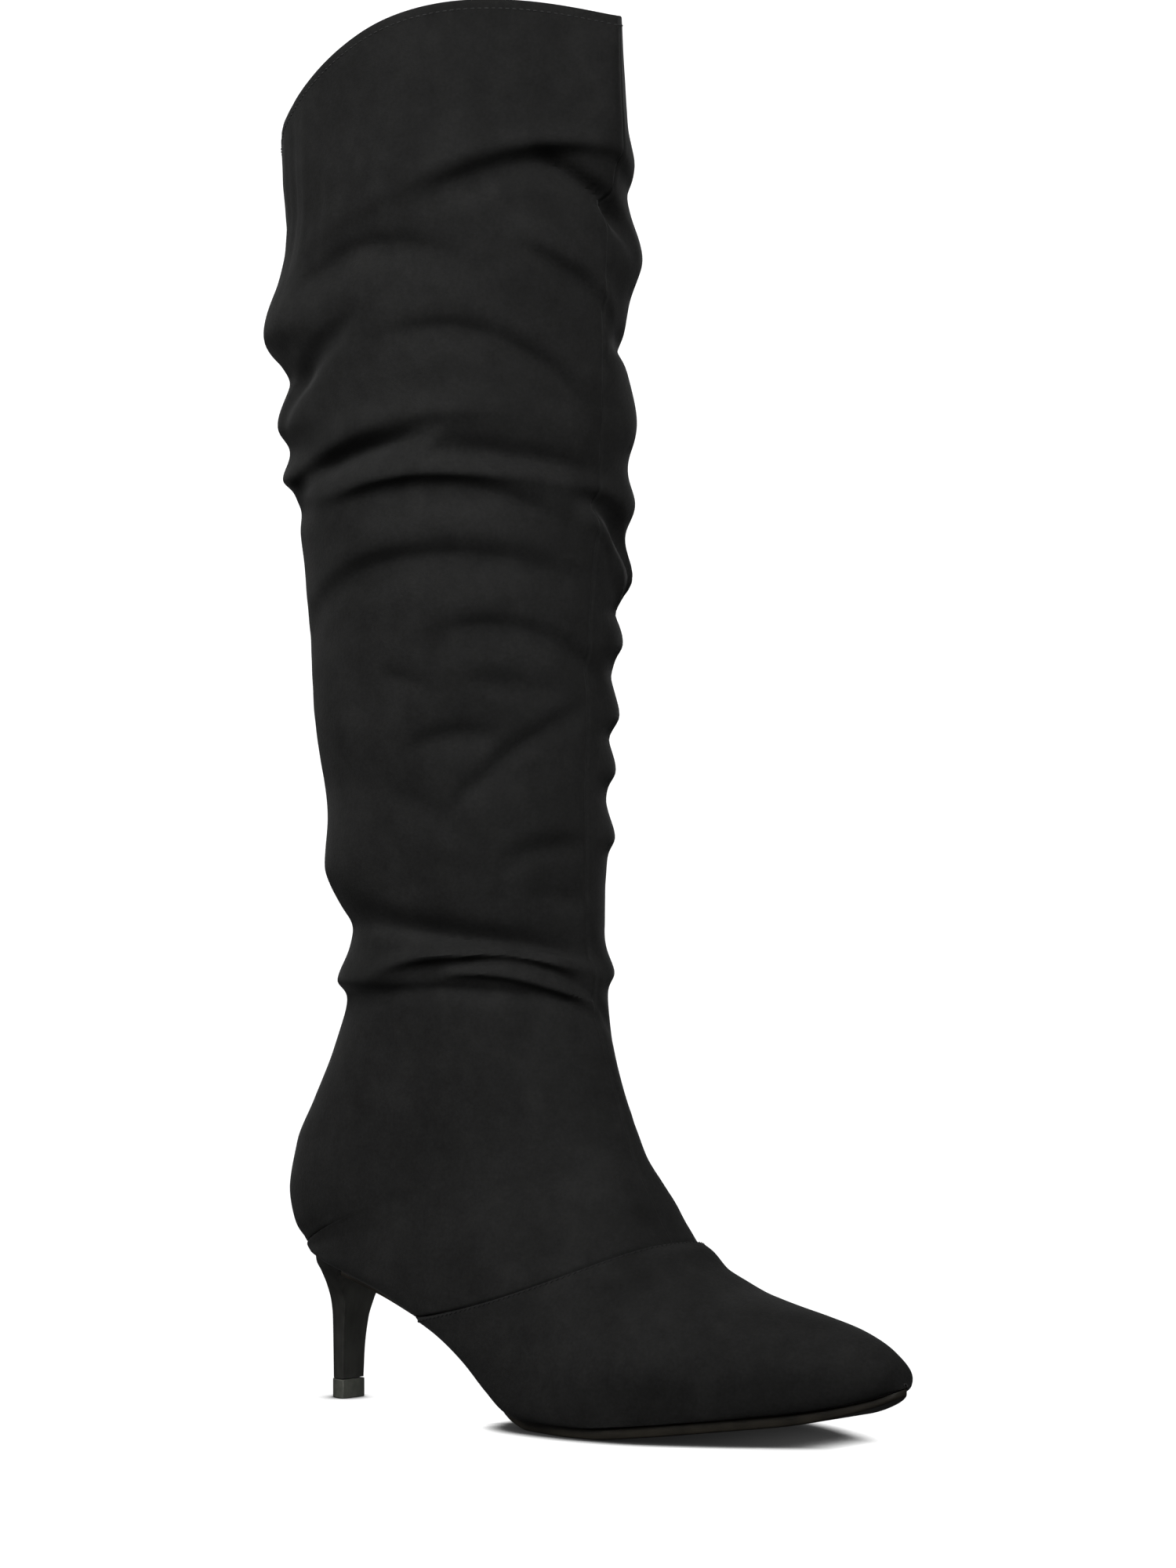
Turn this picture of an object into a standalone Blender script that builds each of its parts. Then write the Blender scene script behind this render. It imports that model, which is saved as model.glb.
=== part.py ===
"""Slouched knee-high boot for the right foot, with a pointed toe and a slim kitten heel.

Metres. +X points to the toe, +Y to the inner side of the foot and +Z up.
The origin is the middle of the heel tip, on the floor.
"""
import math

import bmesh
import bpy
import numpy as np

# Driving sizes
LENGTH = 0.250
BALL_WIDTH = 0.080
SEAT_HEIGHT = 0.050
TOE_SPRING = 0.016
TOE_DRIFT = 0.0035
INSTEP_HEIGHT = 0.060
CUP_HEIGHT = 0.086
SHAFT_HEIGHT = 0.373
SHAFT_DEPTH = 0.134
SHAFT_WIDTH = 0.102
COLLAR_CROWN = 0.0155
WALL = 0.0018
VAMP_LAP = 0.0010
LASTING_MARGIN = 0.010
FOLD_DEPTH = 0.005
FOLD_WIDTH = 0.010
FOLD_SAG = 0.35
FOLD_UNDERCUT = 0.7
FOLD_RUN_IN = 0.2
SOLE_THICKNESS = 0.004
SOLE_INSET = 0.001
SOLE_CHAMFER = 0.0008
HEEL_INSET = 0.0003
INSOLE_THICKNESS = 0.0015
INSOLE_EASE = 0.0021
INSOLE_LEAST_WIDTH = 0.0075
TIP_DEPTH = 0.0078
TIP_WIDTH = 0.0105
TIP_EDGE = 0.0003
LIFT_HEIGHT = 0.0065
CLEARANCE = 0.0003

# Places along the foot, as shares of LENGTH from the back of the heel cup
SEAT_BACK = 0.030
HEEL_BREAST = 0.142
TIP_MIDDLE = 0.062
SOLE_FIRST_STEP = 0.01
DRIFT_START = 0.45
DRIFT_RUN = 0.5

# How finely the skins are drawn
POINTS_PER_SIDE = 17
CURVE_SAMPLES = 120
LEG_STEPS = 42
HEEL_POINTS = 12
SHARP_ANGLE = math.radians(50)
LEAST_LEAN = 0.65
TOUCHING = 1e-5

# Shape of the collar's crown: its skew to the back and its roundness
CROWN_SKEW = 0.75
CROWN_ROUNDNESS = 1.5

# Colour and roughness of each material
SUEDE = ((0.013, 0.013, 0.013), 0.9)
SOLE_RUBBER = ((0.011, 0.010, 0.009), 0.45)
SOCK = ((0.010, 0.010, 0.010), 0.8)
HEEL_COVER = ((0.016, 0.016, 0.015), 0.5)
TIP_RUBBER = ((0.035, 0.036, 0.030), 0.6)

TIP_X = TIP_MIDDLE * LENGTH

# Height of the feather edge along the sole, where the upper meets it; FLAT_ROWS is the spot that
# stands on the floor.
# Columns: place from the seat's back to the toe, share of the seat's rise, share of the toe spring
FEATHER = (
    (0.000, 1.045, 0.00),
    (0.060, 1.005, 0.00),
    (0.120, 0.930, 0.00),
    (0.180, 0.835, 0.00),
    (0.240, 0.705, 0.00),
    (0.300, 0.560, 0.00),
    (0.360, 0.365, 0.00),
    (0.410, 0.165, 0.00),
    (0.450, 0.038, 0.00),
    (0.485, 0.000, 0.00),
    (0.600, 0.000, 0.00),
    (0.690, 0.000, 0.12),
    (0.780, 0.000, 0.28),
    (0.890, 0.000, 0.50),
    (0.970, 0.000, 0.80),
    (1.000, 0.000, 1.00),
)
FLAT_ROWS = (9, 10)

# Half widths of the feather edge. Columns: place, outer side, inner side, as shares of BALL_WIDTH
OUTLINE = (
    (0.000, 0.000, 0.000),
    (0.020, 0.150, 0.150),
    (0.050, 0.240, 0.240),
    (0.100, 0.315, 0.315),
    (0.160, 0.333, 0.327),
    (0.230, 0.322, 0.304),
    (0.300, 0.317, 0.273),
    (0.370, 0.342, 0.268),
    (0.440, 0.394, 0.306),
    (0.510, 0.456, 0.375),
    (0.570, 0.500, 0.450),
    (0.630, 0.506, 0.506),
    (0.680, 0.481, 0.500),
    (0.752, 0.400, 0.438),
    (0.815, 0.325, 0.350),
    (0.887, 0.231, 0.238),
    (0.938, 0.156, 0.150),
    (0.971, 0.100, 0.088),
    (0.990, 0.062, 0.050),
    (1.000, 0.000, 0.000),
)

# Sections of the foot, each a plane from the top line of the foot to the sole or the heel cup. The
# toe's drift ends between DRIFT_ROWS.
# Columns: top place (LENGTH), top above the bottom end (INSTEP_HEIGHT), bottom place (LENGTH),
# bottom above the seat (CUP_HEIGHT), outer and inner half width (BALL_WIDTH), where the section is
# widest, roundness of the ridge, sag of the middle (INSTEP_HEIGHT), fullness of the side
FOOT = (
    (0.998, 0.02, 1.000, 0.00, 0.000, 0.000, 0.50, 1.00, 0.000, 2.00),
    (0.990, 0.12, 0.992, 0.00, 0.085, 0.080, 0.55, 1.00, 0.000, 2.00),
    (0.960, 0.27, 0.964, 0.00, 0.150, 0.144, 0.58, 1.00, 0.000, 2.20),
    (0.912, 0.41, 0.908, 0.00, 0.233, 0.233, 0.62, 1.00, 0.000, 2.40),
    (0.854, 0.505, 0.844, 0.00, 0.320, 0.338, 0.66, 1.00, 0.000, 2.60),
    (0.796, 0.595, 0.760, 0.00, 0.413, 0.438, 0.68, 1.00, 0.000, 2.80),
    (0.748, 0.68, 0.672, 0.00, 0.498, 0.515, 0.68, 0.95, -0.01, 2.80),
    (0.708, 0.77, 0.580, 0.00, 0.519, 0.506, 0.68, 0.90, -0.025, 2.80),
    (0.680, 0.82, 0.480, 0.00, 0.498, 0.481, 0.66, 0.85, -0.05, 2.80),
    (0.657, 0.645, 0.384, 0.00, 0.465, 0.463, 0.64, 0.78, -0.05, 2.80),
    (0.637, 0.46, 0.292, 0.00, 0.448, 0.450, 0.62, 0.70, -0.06, 2.80),
    (0.621, 0.40, 0.212, 0.00, 0.433, 0.437, 0.60, 0.66, -0.05, 2.40),
    (0.605, 0.43, 0.148, 0.00, 0.426, 0.426, 0.60, 0.66, -0.035, 2.00),
    (0.587, 0.495, 0.092, 0.00, 0.418, 0.418, 0.60, 0.72, -0.025, 1.85),
    (0.570, 0.61, 0.052, 0.00, 0.410, 0.410, 0.61, 0.85, -0.01, 1.85),
    (0.557, 0.75, 0.036, 0.00, 0.410, 0.408, 0.62, 0.93, 0.000, 1.95),
    (0.552, 0.80, 0.030, 0.00, 0.412, 0.410, 0.62, 0.96, 0.000, 2.05),
    (0.549, 0.81, 0.0265, 0.022, 0.413, 0.411, 0.62, 0.98, 0.000, 2.20),
    (0.545, 0.79, 0.012, 0.07, 0.415, 0.412, 0.62, 1.00, 0.000, 2.22),
    (0.534, 0.71, -0.003, 0.22, 0.418, 0.416, 0.60, 1.05, 0.000, 2.18),
    (0.524, 0.58, 0.005, 0.40, 0.415, 0.415, 0.57, 1.08, 0.000, 2.05),
    (0.515, 0.45, 0.036, 0.58, 0.416, 0.416, 0.54, 1.10, 0.000, 2.00),
    (0.507, 0.31, 0.074, 0.79, 0.421, 0.421, 0.52, 1.12, 0.000, 2.00),
)
VAMP_SEAM_ROW = 10
LAST_INSOLE_ROW = 14
LAST_SOLE_ROW = 16
DRIFT_ROWS = (16, 22)

# Sections of the leg. Columns: front and back height above the seat (SHAFT_HEIGHT), middle (LENGTH),
# depth (SHAFT_DEPTH), width (SHAFT_WIDTH), roundness of the front, crown (COLLAR_CROWN)
LEG = (
    (0.263, 0.231, 0.301, 0.742, 0.671, 1.12, 0.00),
    (0.300, 0.284, 0.303, 0.713, 0.698, 1.10, 0.00),
    (0.348, 0.341, 0.296, 0.724, 0.753, 1.10, 0.00),
    (0.410, 0.408, 0.285, 0.765, 0.816, 1.10, 0.00),
    (0.496, 0.491, 0.279, 0.802, 0.875, 1.08, 0.00),
    (0.611, 0.601, 0.275, 0.845, 0.930, 1.05, 0.00),
    (0.740, 0.713, 0.269, 0.899, 0.996, 1.10, 0.00),
    (0.847, 0.804, 0.266, 0.933, 1.010, 1.20, 0.13),
    (0.933, 0.871, 0.268, 0.963, 1.006, 1.40, 0.39),
    (1.000, 0.917, 0.276, 0.984, 1.010, 1.60, 0.68),
    (1.054, 0.960, 0.274, 1.005, 1.004, 1.80, 0.87),
    (1.104, 1.000, 0.272, 1.016, 0.992, 1.95, 1.01),
)

# Rows of FOOT and steps between them where a section is drawn
FOOT_STEPS = (0, 0.5, 1, 1.5, 2, 2.5, 3, 3.5, 4, 4.5, 5, 5.5, 6, 6.5, 7, 7.5, 8, 8.5, 9, 10,
              11, 12, 13, 14, 15, 15.5, 16, 17, 17.5, 18, 18.5, 19, 20, 21, 22)

# Main folds of the slouched leg: a ridge where the depth is positive, a hollow where it is negative.
# Columns: middle round the leg (-1 back, outer side; 0 front; 1 back, inner side), half span,
# height, droop of the ends and tilt (SHAFT_HEIGHT), depth (FOLD_DEPTH), width (FOLD_WIDTH)
FOLDS = (
    (0.05, 0.98, 1.000, 0.190, 0.000, 0.45, 1.1),
    (-0.10, 0.28, 0.966, 0.030, -0.030, -0.70, 1.0),
    (0.24, 0.30, 0.912, 0.020, -0.010, 1.00, 1.9),
    (-0.45, 0.30, 0.908, 0.080, 0.000, -0.60, 0.9),
    (-0.86, 0.34, 0.832, 0.020, 0.020, 1.45, 1.8),
    (-0.60, 0.24, 0.819, 0.000, 0.070, -0.50, 0.9),
    (-0.48, 0.56, 0.750, 0.060, 0.020, 0.80, 1.2),
    (0.26, 0.30, 0.745, 0.020, 0.000, 0.55, 1.9),
    (-0.57, 0.32, 0.712, 0.010, 0.018, -0.80, 0.8),
    (-0.26, 0.56, 0.700, 0.038, 0.000, 0.80, 0.8),
    (-0.30, 0.42, 0.680, 0.040, -0.004, -0.90, 0.8),
    (0.22, 0.30, 0.650, 0.020, -0.030, 0.85, 1.5),
    (-0.34, 0.50, 0.628, 0.070, 0.000, -0.50, 1.0),
    (-0.22, 0.34, 0.560, 0.040, -0.016, -0.45, 1.0),
    (0.24, 0.34, 0.490, 0.020, 0.000, 0.60, 1.2),
    (-0.20, 0.30, 0.462, 0.010, 0.045, -0.40, 0.9),
    (0.24, 0.34, 0.382, 0.020, 0.000, 0.60, 1.0),
    (-0.86, 0.42, 0.366, 0.020, 0.000, 1.10, 1.2),
    (-0.34, 0.50, 0.304, 0.016, -0.004, -0.75, 0.9),
    (-0.45, 0.86, 0.268, 0.030, 0.012, 1.00, 0.9),
    (0.62, 0.55, 0.262, 0.030, 0.000, 0.90, 0.9),
)

# The heel's rings, from its tip to the seat. Columns: level, then how far the back, the breast and
# the half width have gone from the tip's to the seat's
HEEL_RINGS = (
    (0.000, 0.00, 0.00, 0.000),
    (0.226, 0.03, 0.02, 0.015),
    (0.473, 0.07, 0.09, 0.050),
    (0.598, 0.22, 0.16, 0.100),
    (0.719, 0.54, 0.22, 0.220),
    (0.838, 0.84, 0.45, 0.500),
    (0.930, 0.97, 0.75, 0.840),
    (1.000, 1.00, 1.00, 1.000),
)

# The outsole's thickness. Columns: place, share of SOLE_THICKNESS
SOLE_DEPTH = (
    (0.00, 0.60),
    (0.30, 0.60),
    (0.45, 1.00),
    (0.85, 1.00),
    (1.00, 0.65),
)


def smooth_rows(rows, place):
    """Read a table at any place, on a cubic that never overshoots its rows."""
    table = np.array(rows, dtype=float)
    keys = table[:, 0]
    values = table[:, 1:]
    step = np.diff(keys)[:, None]
    slope = np.diff(values, axis=0) / step
    tangent = np.zeros_like(values)
    tangent[0] = slope[0]
    tangent[-1] = slope[-1]
    before = slope[:-1]
    after = slope[1:]
    same_way = before * after > 0
    total = np.where(same_way, before + after, 1.0)
    tangent[1:-1] = np.where(same_way, 2 * before * after / total, 0.0)
    place = np.clip(np.atleast_1d(place), keys[0], keys[-1])
    row = np.clip(np.searchsorted(keys, place) - 1, 0, len(keys) - 2)
    width = step[row]
    t = ((place - keys[row]) / step[row, 0])[:, None]
    return (
        (2 * t**3 - 3 * t**2 + 1) * values[row]
        + (t**3 - 2 * t**2 + t) * width * tangent[row]
        + (3 * t**2 - 2 * t**3) * values[row + 1]
        + (t**3 - t**2) * width * tangent[row + 1]
    )


def seat_share(along):
    """Turn a share of LENGTH into a place from the seat's back, 0, to the toe, 1."""
    return np.clip((np.asarray(along, dtype=float) - SEAT_BACK) / (1 - SEAT_BACK), 0.0, 1.0)


def feather_height(along):
    rise, spring = smooth_rows(FEATHER, seat_share(along)).T
    return SOLE_THICKNESS + rise * (SEAT_HEIGHT - SOLE_THICKNESS) + spring * TOE_SPRING


def feather_halves(along):
    """Half widths of the sole's outline; reading it on a circle keeps heel and toe round."""
    rows = [(math.acos(1 - 2 * place), outer, inner) for place, outer, inner in OUTLINE]
    return BALL_WIDTH * smooth_rows(rows, np.arccos(1 - 2 * seat_share(along)))


def toe_drift(along):
    """How far the middle line of the forefoot leans to the inner side."""
    reach = np.clip((seat_share(along) - DRIFT_START) / DRIFT_RUN, 0.0, 1.0)
    return TOE_DRIFT * reach * reach * (3 - 2 * reach)


def section_table():
    """All sections in metres, from the toe to the collar."""
    seat = float(feather_height(SEAT_BACK)[0])
    rows = []
    for top, rise, bottom, lift, outer, inner, widest, ridge, sag, fullness in FOOT:
        bottom_z = float(feather_height(bottom)[0]) if lift == 0 else seat + lift * CUP_HEIGHT
        rows.append((
            top * LENGTH, bottom_z + rise * INSTEP_HEIGHT, bottom * LENGTH, lift * CUP_HEIGHT,
            outer * BALL_WIDTH, inner * BALL_WIDTH, widest, ridge, sag * INSTEP_HEIGHT, 0.0, fullness,
        ))
    for front, back, middle, depth, width, ridge, crown in LEG:
        half_depth = 0.5 * depth * SHAFT_DEPTH
        half_width = 0.5 * width * SHAFT_WIDTH
        rows.append((
            middle * LENGTH + half_depth, seat + front * SHAFT_HEIGHT, middle * LENGTH - half_depth,
            back * SHAFT_HEIGHT, half_width, half_width, 0.5, ridge, 0.0, crown * COLLAR_CROWN, 2.0,
        ))
    return [(float(number),) + row for number, row in enumerate(rows)]


SECTIONS = section_table()


def section_points(number):
    """One section, from the inner edge of its outer margin, over the top line, to the inner side's."""
    top_x, top_z, bottom_x, lift, outer, inner, widest, ridge, sag, crown, fullness = (
        smooth_rows(SECTIONS, number)[0])
    on_sole = number <= LAST_SOLE_ROW
    if on_sole:
        bottom_x = max(bottom_x, SEAT_BACK * LENGTH)
        bottom_z = float(feather_height(bottom_x / LENGTH)[0])
        feather = feather_halves(bottom_x / LENGTH)[0]
    else:
        bottom_z = float(feather_height(SEAT_BACK)[0]) + lift
        feather = (0.0, 0.0)
    top_y = float(toe_drift(top_x / LENGTH)) * float(np.interp(number, DRIFT_ROWS, (1.0, 0.0)))
    bottom_y = float(toe_drift(bottom_x / LENGTH))
    turn = np.linspace(0.0, math.pi / 2, CURVE_SAMPLES)
    sides = []
    for side, half, edge in ((-1, outer, feather[0]), (1, inner, feather[1])):
        half = max(half, edge)
        kept = edge / half if half > 0 else 0.0
        down = np.concatenate((
            widest * (1 - np.cos(turn)),
            widest + (1 - widest) * np.sin(turn[1:]) ** (2 / fullness)))
        out = half * np.concatenate((
            np.sin(turn) ** ridge,
            kept + (1 - kept) * np.cos(turn[1:]) ** (2 / fullness)))
        eased = down ** CROWN_SKEW
        z = top_z + (bottom_z - top_z) * down
        z += sag * 4 * down * (1 - down) + crown * (4 * eased * (1 - eased)) ** CROWN_ROUNDNESS
        y = top_y + (bottom_y - top_y) * down + side * out
        curve = np.stack((top_x + (bottom_x - top_x) * down, y, z), axis=1)
        run = np.concatenate(([0.0], np.cumsum(np.linalg.norm(np.diff(curve, axis=0), axis=1))))
        marks = np.linspace(0.0, run[-1], POINTS_PER_SIDE)
        line = np.stack([np.interp(marks, run, curve[:, axis]) for axis in range(3)], axis=1)
        margin = (bottom_x, bottom_y + side * (edge - min(LASTING_MARGIN, edge)), bottom_z)
        sides.append(np.vstack((line, margin)))
    return np.vstack((sides[0][::-1], sides[1][1:]))


def grid_normals(grid):
    """Outward normals of a grid of points, and how far each leans from its faces."""
    keys = np.round(grid * 1e6).astype(np.int64)
    sums = {}
    faces = []
    for row in range(grid.shape[0] - 1):
        for column in range(grid.shape[1] - 1):
            corners = ((row, column), (row, column + 1), (row + 1, column + 1), (row + 1, column))
            a, b, c, d = (grid[corner] for corner in corners)
            normal = np.cross(c - a, d - b)
            size = np.linalg.norm(normal)
            if size == 0:
                continue
            names = {tuple(keys[corner]) for corner in corners}
            faces.append((names, normal / size))
            for name in names:
                sums[name] = sums.get(name, 0) + normal / size
    lean = {}
    for names, normal in faces:
        for name in names:
            share = float(np.dot(sums[name] / np.linalg.norm(sums[name]), normal))
            lean.setdefault(name, []).append(share)
    normals = np.zeros_like(grid)
    stretch = np.ones(grid.shape[:2])
    for row in range(grid.shape[0]):
        for column in range(grid.shape[1]):
            name = tuple(keys[row, column])
            if name in sums:
                normals[row, column] = sums[name] / np.linalg.norm(sums[name])
                stretch[row, column] = 1 / max(LEAST_LEAN, float(np.mean(lean[name])))
    return normals, stretch


def fold_depths(grid):
    """How far the folds push each point of the leg out, in metres."""
    leg = grid[:, 1:-1]
    middle = leg.shape[1] // 2
    run = np.cumsum(np.linalg.norm(np.diff(leg, axis=1), axis=2), axis=1)
    run = np.concatenate((np.zeros((len(leg), 1)), run), axis=1)
    front = run[:, middle:middle + 1]
    outer_side = (run - front) / front
    inner_side = (run - front) / (run[:, -1:] - front)
    around = np.where(run <= front, outer_side, inner_side)
    height = (leg[..., 2] - float(feather_height(SEAT_BACK)[0])) / SHAFT_HEIGHT
    push = np.zeros_like(height)
    for where, span, level, droop, tilt, depth, width in FOLDS:
        reach = ((around - where + 1) % 2 - 1) / span
        path = level - droop * reach**2 + tilt * reach
        off = (height - path) * SHAFT_HEIGHT / (width * FOLD_WIDTH)
        tight = np.where(off > 0, 1.0, FOLD_UNDERCUT)
        fade = np.where(np.abs(reach) < 1, (1 - reach**4) ** 2, 0.0)
        push += depth * FOLD_DEPTH * fade * np.exp(-(off / tight) ** 2)
    push *= np.clip(height / FOLD_RUN_IN, 0.0, 1.0) ** 2
    return np.concatenate((push[:, :1], push, push[:, -1:]), axis=1)


def upper_skins():
    """Outer and inner points of the whole upper, toe to collar, and the row of the vamp seam."""
    legs = np.linspace(FOOT_STEPS[-1], SECTIONS[-1][0], LEG_STEPS + 1)[1:]
    numbers = list(FOOT_STEPS) + list(legs)
    base = np.array([section_points(number) for number in numbers])
    normals, stretch = grid_normals(base)
    inner = base - normals * (WALL * stretch)[..., None]
    push = fold_depths(base)
    shift = normals * push[..., None]
    shift[..., 2] -= FOLD_SAG * np.clip(push, 0, None)
    seam = FOOT_STEPS.index(VAMP_SEAM_ROW)
    lap = np.zeros(base.shape[:2])
    lap[:seam + 1, 2:-2] = VAMP_LAP * (np.arange(seam + 1) / seam)[:, None] ** 2
    return base + shift, inner + shift, normals * lap[..., None], seam


def finish_mesh(name, mesh, finish):
    """Close a bmesh into a named object with its own plain material."""
    bmesh.ops.remove_doubles(mesh, verts=mesh.verts, dist=TOUCHING)
    bmesh.ops.recalc_face_normals(mesh, faces=mesh.faces)
    data = bpy.data.meshes.new(name)
    mesh.to_mesh(data)
    mesh.free()
    data.shade_smooth()
    data.set_sharp_from_angle(angle=SHARP_ANGLE)
    color, roughness = finish
    material = bpy.data.materials.new(name)
    material.use_nodes = True
    shader = material.node_tree.nodes["Principled BSDF"]
    shader.inputs["Base Color"].default_value = (*color, 1.0)
    shader.inputs["Roughness"].default_value = roughness
    shader.inputs["Metallic"].default_value = 0.0
    data.materials.append(material)
    piece = bpy.data.objects.new(name, data)
    bpy.context.scene.collection.objects.link(piece)
    return piece


def to_frame(points):
    """Move points from the back of the heel cup to the frame of the heel tip."""
    return points - np.array((TIP_X, 0.0, 0.0))


def add_face(mesh, corners):
    """Add a face, leaving out corners that fall on one another."""
    kept = []
    for corner in corners:
        if all((corner.co - other.co).length > TOUCHING for other in kept):
            kept.append(corner)
    if len(kept) > 2:
        mesh.faces.new(kept)


def add_shell(name, outer, inner, finish):
    """A hollow skin: two grids of points joined along every open edge."""
    mesh = bmesh.new()
    rows, columns = outer.shape[:2]
    skins = []
    for grid in (to_frame(outer), to_frame(inner)):
        skins.append([[mesh.verts.new(point) for point in row] for row in grid])
    for skin in skins:
        for row in range(rows - 1):
            for column in range(columns - 1):
                add_face(mesh, (skin[row][column], skin[row][column + 1],
                                skin[row + 1][column + 1], skin[row + 1][column]))
    out, lining = skins
    for row in (0, rows - 1):
        if np.ptp(outer[row, :, 1]) < TOUCHING:
            continue
        for column in range(columns - 1):
            add_face(mesh, (out[row][column], out[row][column + 1],
                            lining[row][column + 1], lining[row][column]))
    meets = np.linalg.norm(outer[:, 0] - outer[:, -1], axis=1) < TOUCHING
    for row in range(rows - 1):
        if meets[row] and meets[row + 1]:
            continue
        for column in (0, columns - 1):
            add_face(mesh, (out[row][column], out[row + 1][column],
                            lining[row + 1][column], lining[row][column]))
    return finish_mesh(name, mesh, finish)


def add_upper(outer, inner, lap, seam):
    """The vamp and the shaft: one surface, cut along the vamp seam."""
    ends = outer[seam, [2, outer.shape[1] // 2, -3]]
    across = np.cross(ends[1] - ends[0], ends[2] - ends[0])
    across *= np.sign(across[0]) * 0.5 * CLEARANCE / np.linalg.norm(across)
    vamp_outer = (outer + lap)[:seam + 1].copy()
    vamp_inner = inner[:seam + 1].copy()
    shaft_outer = outer[seam:].copy()
    shaft_inner = inner[seam:].copy()
    vamp_outer[-1] += across
    vamp_inner[-1] += across
    shaft_outer[0] -= across
    shaft_inner[0] -= across
    add_shell("vamp", vamp_outer, vamp_inner, SUEDE)
    add_shell("shaft", shaft_outer, shaft_inner, SUEDE)


def sole_places():
    """Places along the sole where the upper has a section, so that both bend at the same lines."""
    bottoms = [smooth_rows(SECTIONS, number)[0][2] / LENGTH for number in FOOT_STEPS
               if number <= LAST_SOLE_ROW]
    return [place for place in bottoms if place > SEAT_BACK]


def add_loft(name, rings, finish):
    """A solid through closed rings of points, its two ends filled."""
    mesh = bmesh.new()
    loops = [[mesh.verts.new(point) for point in to_frame(np.array(ring))] for ring in rings]
    for one, other in zip(loops, loops[1:]):
        for corner in range(len(one)):
            after = (corner + 1) % len(one)
            add_face(mesh, (one[corner], one[after], other[after], other[corner]))
    for loop in (loops[0], loops[-1]):
        add_face(mesh, loop)
    return finish_mesh(name, mesh, finish)


def add_outsole():
    """The thin sole, from the heel breast to the toe, flat under the ball of the foot."""
    start = HEEL_BREAST + CLEARANCE / LENGTH
    places = [place for place in sole_places() if place > start + SOLE_FIRST_STEP] + [start]
    for row in FLAT_ROWS:
        places.append(SEAT_BACK + FEATHER[row][0] * (1 - SEAT_BACK))
    rings = []
    for place in sorted(places):
        top = float(feather_height(place)[0]) - CLEARANCE
        depth = SOLE_THICKNESS * float(smooth_rows(SOLE_DEPTH, seat_share(place))[0, 0])
        low = float(feather_height(place)[0]) - depth
        x = place * LENGTH
        y = float(toe_drift(place))
        outer, inner = (max(0.0, half - SOLE_INSET) for half in feather_halves(place)[0])
        chamfer = min(SOLE_CHAMFER, outer, inner)
        rings.append((
            (x, y - outer, top), (x, y - outer, low + chamfer), (x, y - outer + chamfer, low),
            (x, y + inner - chamfer, low), (x, y + inner, low + chamfer), (x, y + inner, top)))
    add_loft("outsole", rings, SOLE_RUBBER)


def add_insole(lining):
    """The sock board, resting on the lasting margin inside the upper."""
    rings = []
    for row, number in zip(lining, FOOT_STEPS):
        left = row[1][1] + INSOLE_EASE
        right = row[-2][1] - INSOLE_EASE
        if number > LAST_INSOLE_ROW or right - left < INSOLE_LEAST_WIDTH:
            continue
        x, _, low = 0.5 * (row[0] + row[-1])
        low += CLEARANCE
        high = low + INSOLE_THICKNESS
        rings.append(((x, left, high), (x, left, low), (x, right, low), (x, right, high)))
    add_loft("insole", rings, SOCK)


def heel_ring(level, back_gone, breast_gone, half_gone):
    """One ring of the heel: round at the back, flat at the breast."""
    places = SEAT_BACK + (HEEL_BREAST - SEAT_BACK) * (1 - np.cos(
        np.linspace(0.0, math.pi / 2, HEEL_POINTS)))
    turn = np.linspace(0.0, math.pi / 2, HEEL_POINTS)
    half_seat = feather_halves(HEEL_BREAST)[0].min() - HEEL_INSET
    tip_back = TIP_X - TIP_DEPTH / 2
    tip_breast = TIP_X + TIP_DEPTH / 2
    back = tip_back + (SEAT_BACK * LENGTH + HEEL_INSET - tip_back) * back_gone
    breast = tip_breast + (HEEL_BREAST * LENGTH - tip_breast) * breast_gone
    half = TIP_WIDTH / 2 + (half_seat - TIP_WIDTH / 2) * half_gone
    x = back + (breast - back) * (1 - np.cos(turn))
    round_y = half * np.sin(turn)
    seat_y = np.maximum(feather_halves(places).min(axis=1) - HEEL_INSET, 0.0)
    seat_y[0] = 0.0
    y = round_y * (1 - half_gone) + half * seat_y / seat_y[-1] * half_gone
    base = LIFT_HEIGHT + CLEARANCE
    seat = feather_height(x / LENGTH) - CLEARANCE
    z = base + level * (seat - base)
    outer = np.stack((x, -y, z), axis=1)[::-1]
    inner = np.stack((x, y, z), axis=1)[1:]
    return np.vstack((outer, inner))


def add_heel():
    """The slim covered heel under the seat, its top bedded on the curve of the seat."""
    rings = [heel_ring(*row) for row in HEEL_RINGS]
    mesh = bmesh.new()
    loops = [[mesh.verts.new(point) for point in to_frame(ring)] for ring in rings]
    count = len(loops[0])
    for one, other in zip(loops, loops[1:]):
        for corner in range(count):
            after = (corner + 1) % count
            add_face(mesh, (one[corner], one[after], other[after], other[corner]))
    for loop in (loops[0], loops[-1]):
        for corner in range(count // 2):
            add_face(mesh, (loop[corner], loop[corner + 1],
                            loop[count - 2 - corner], loop[count - 1 - corner]))
    return finish_mesh("heel", mesh, HEEL_COVER)


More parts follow.
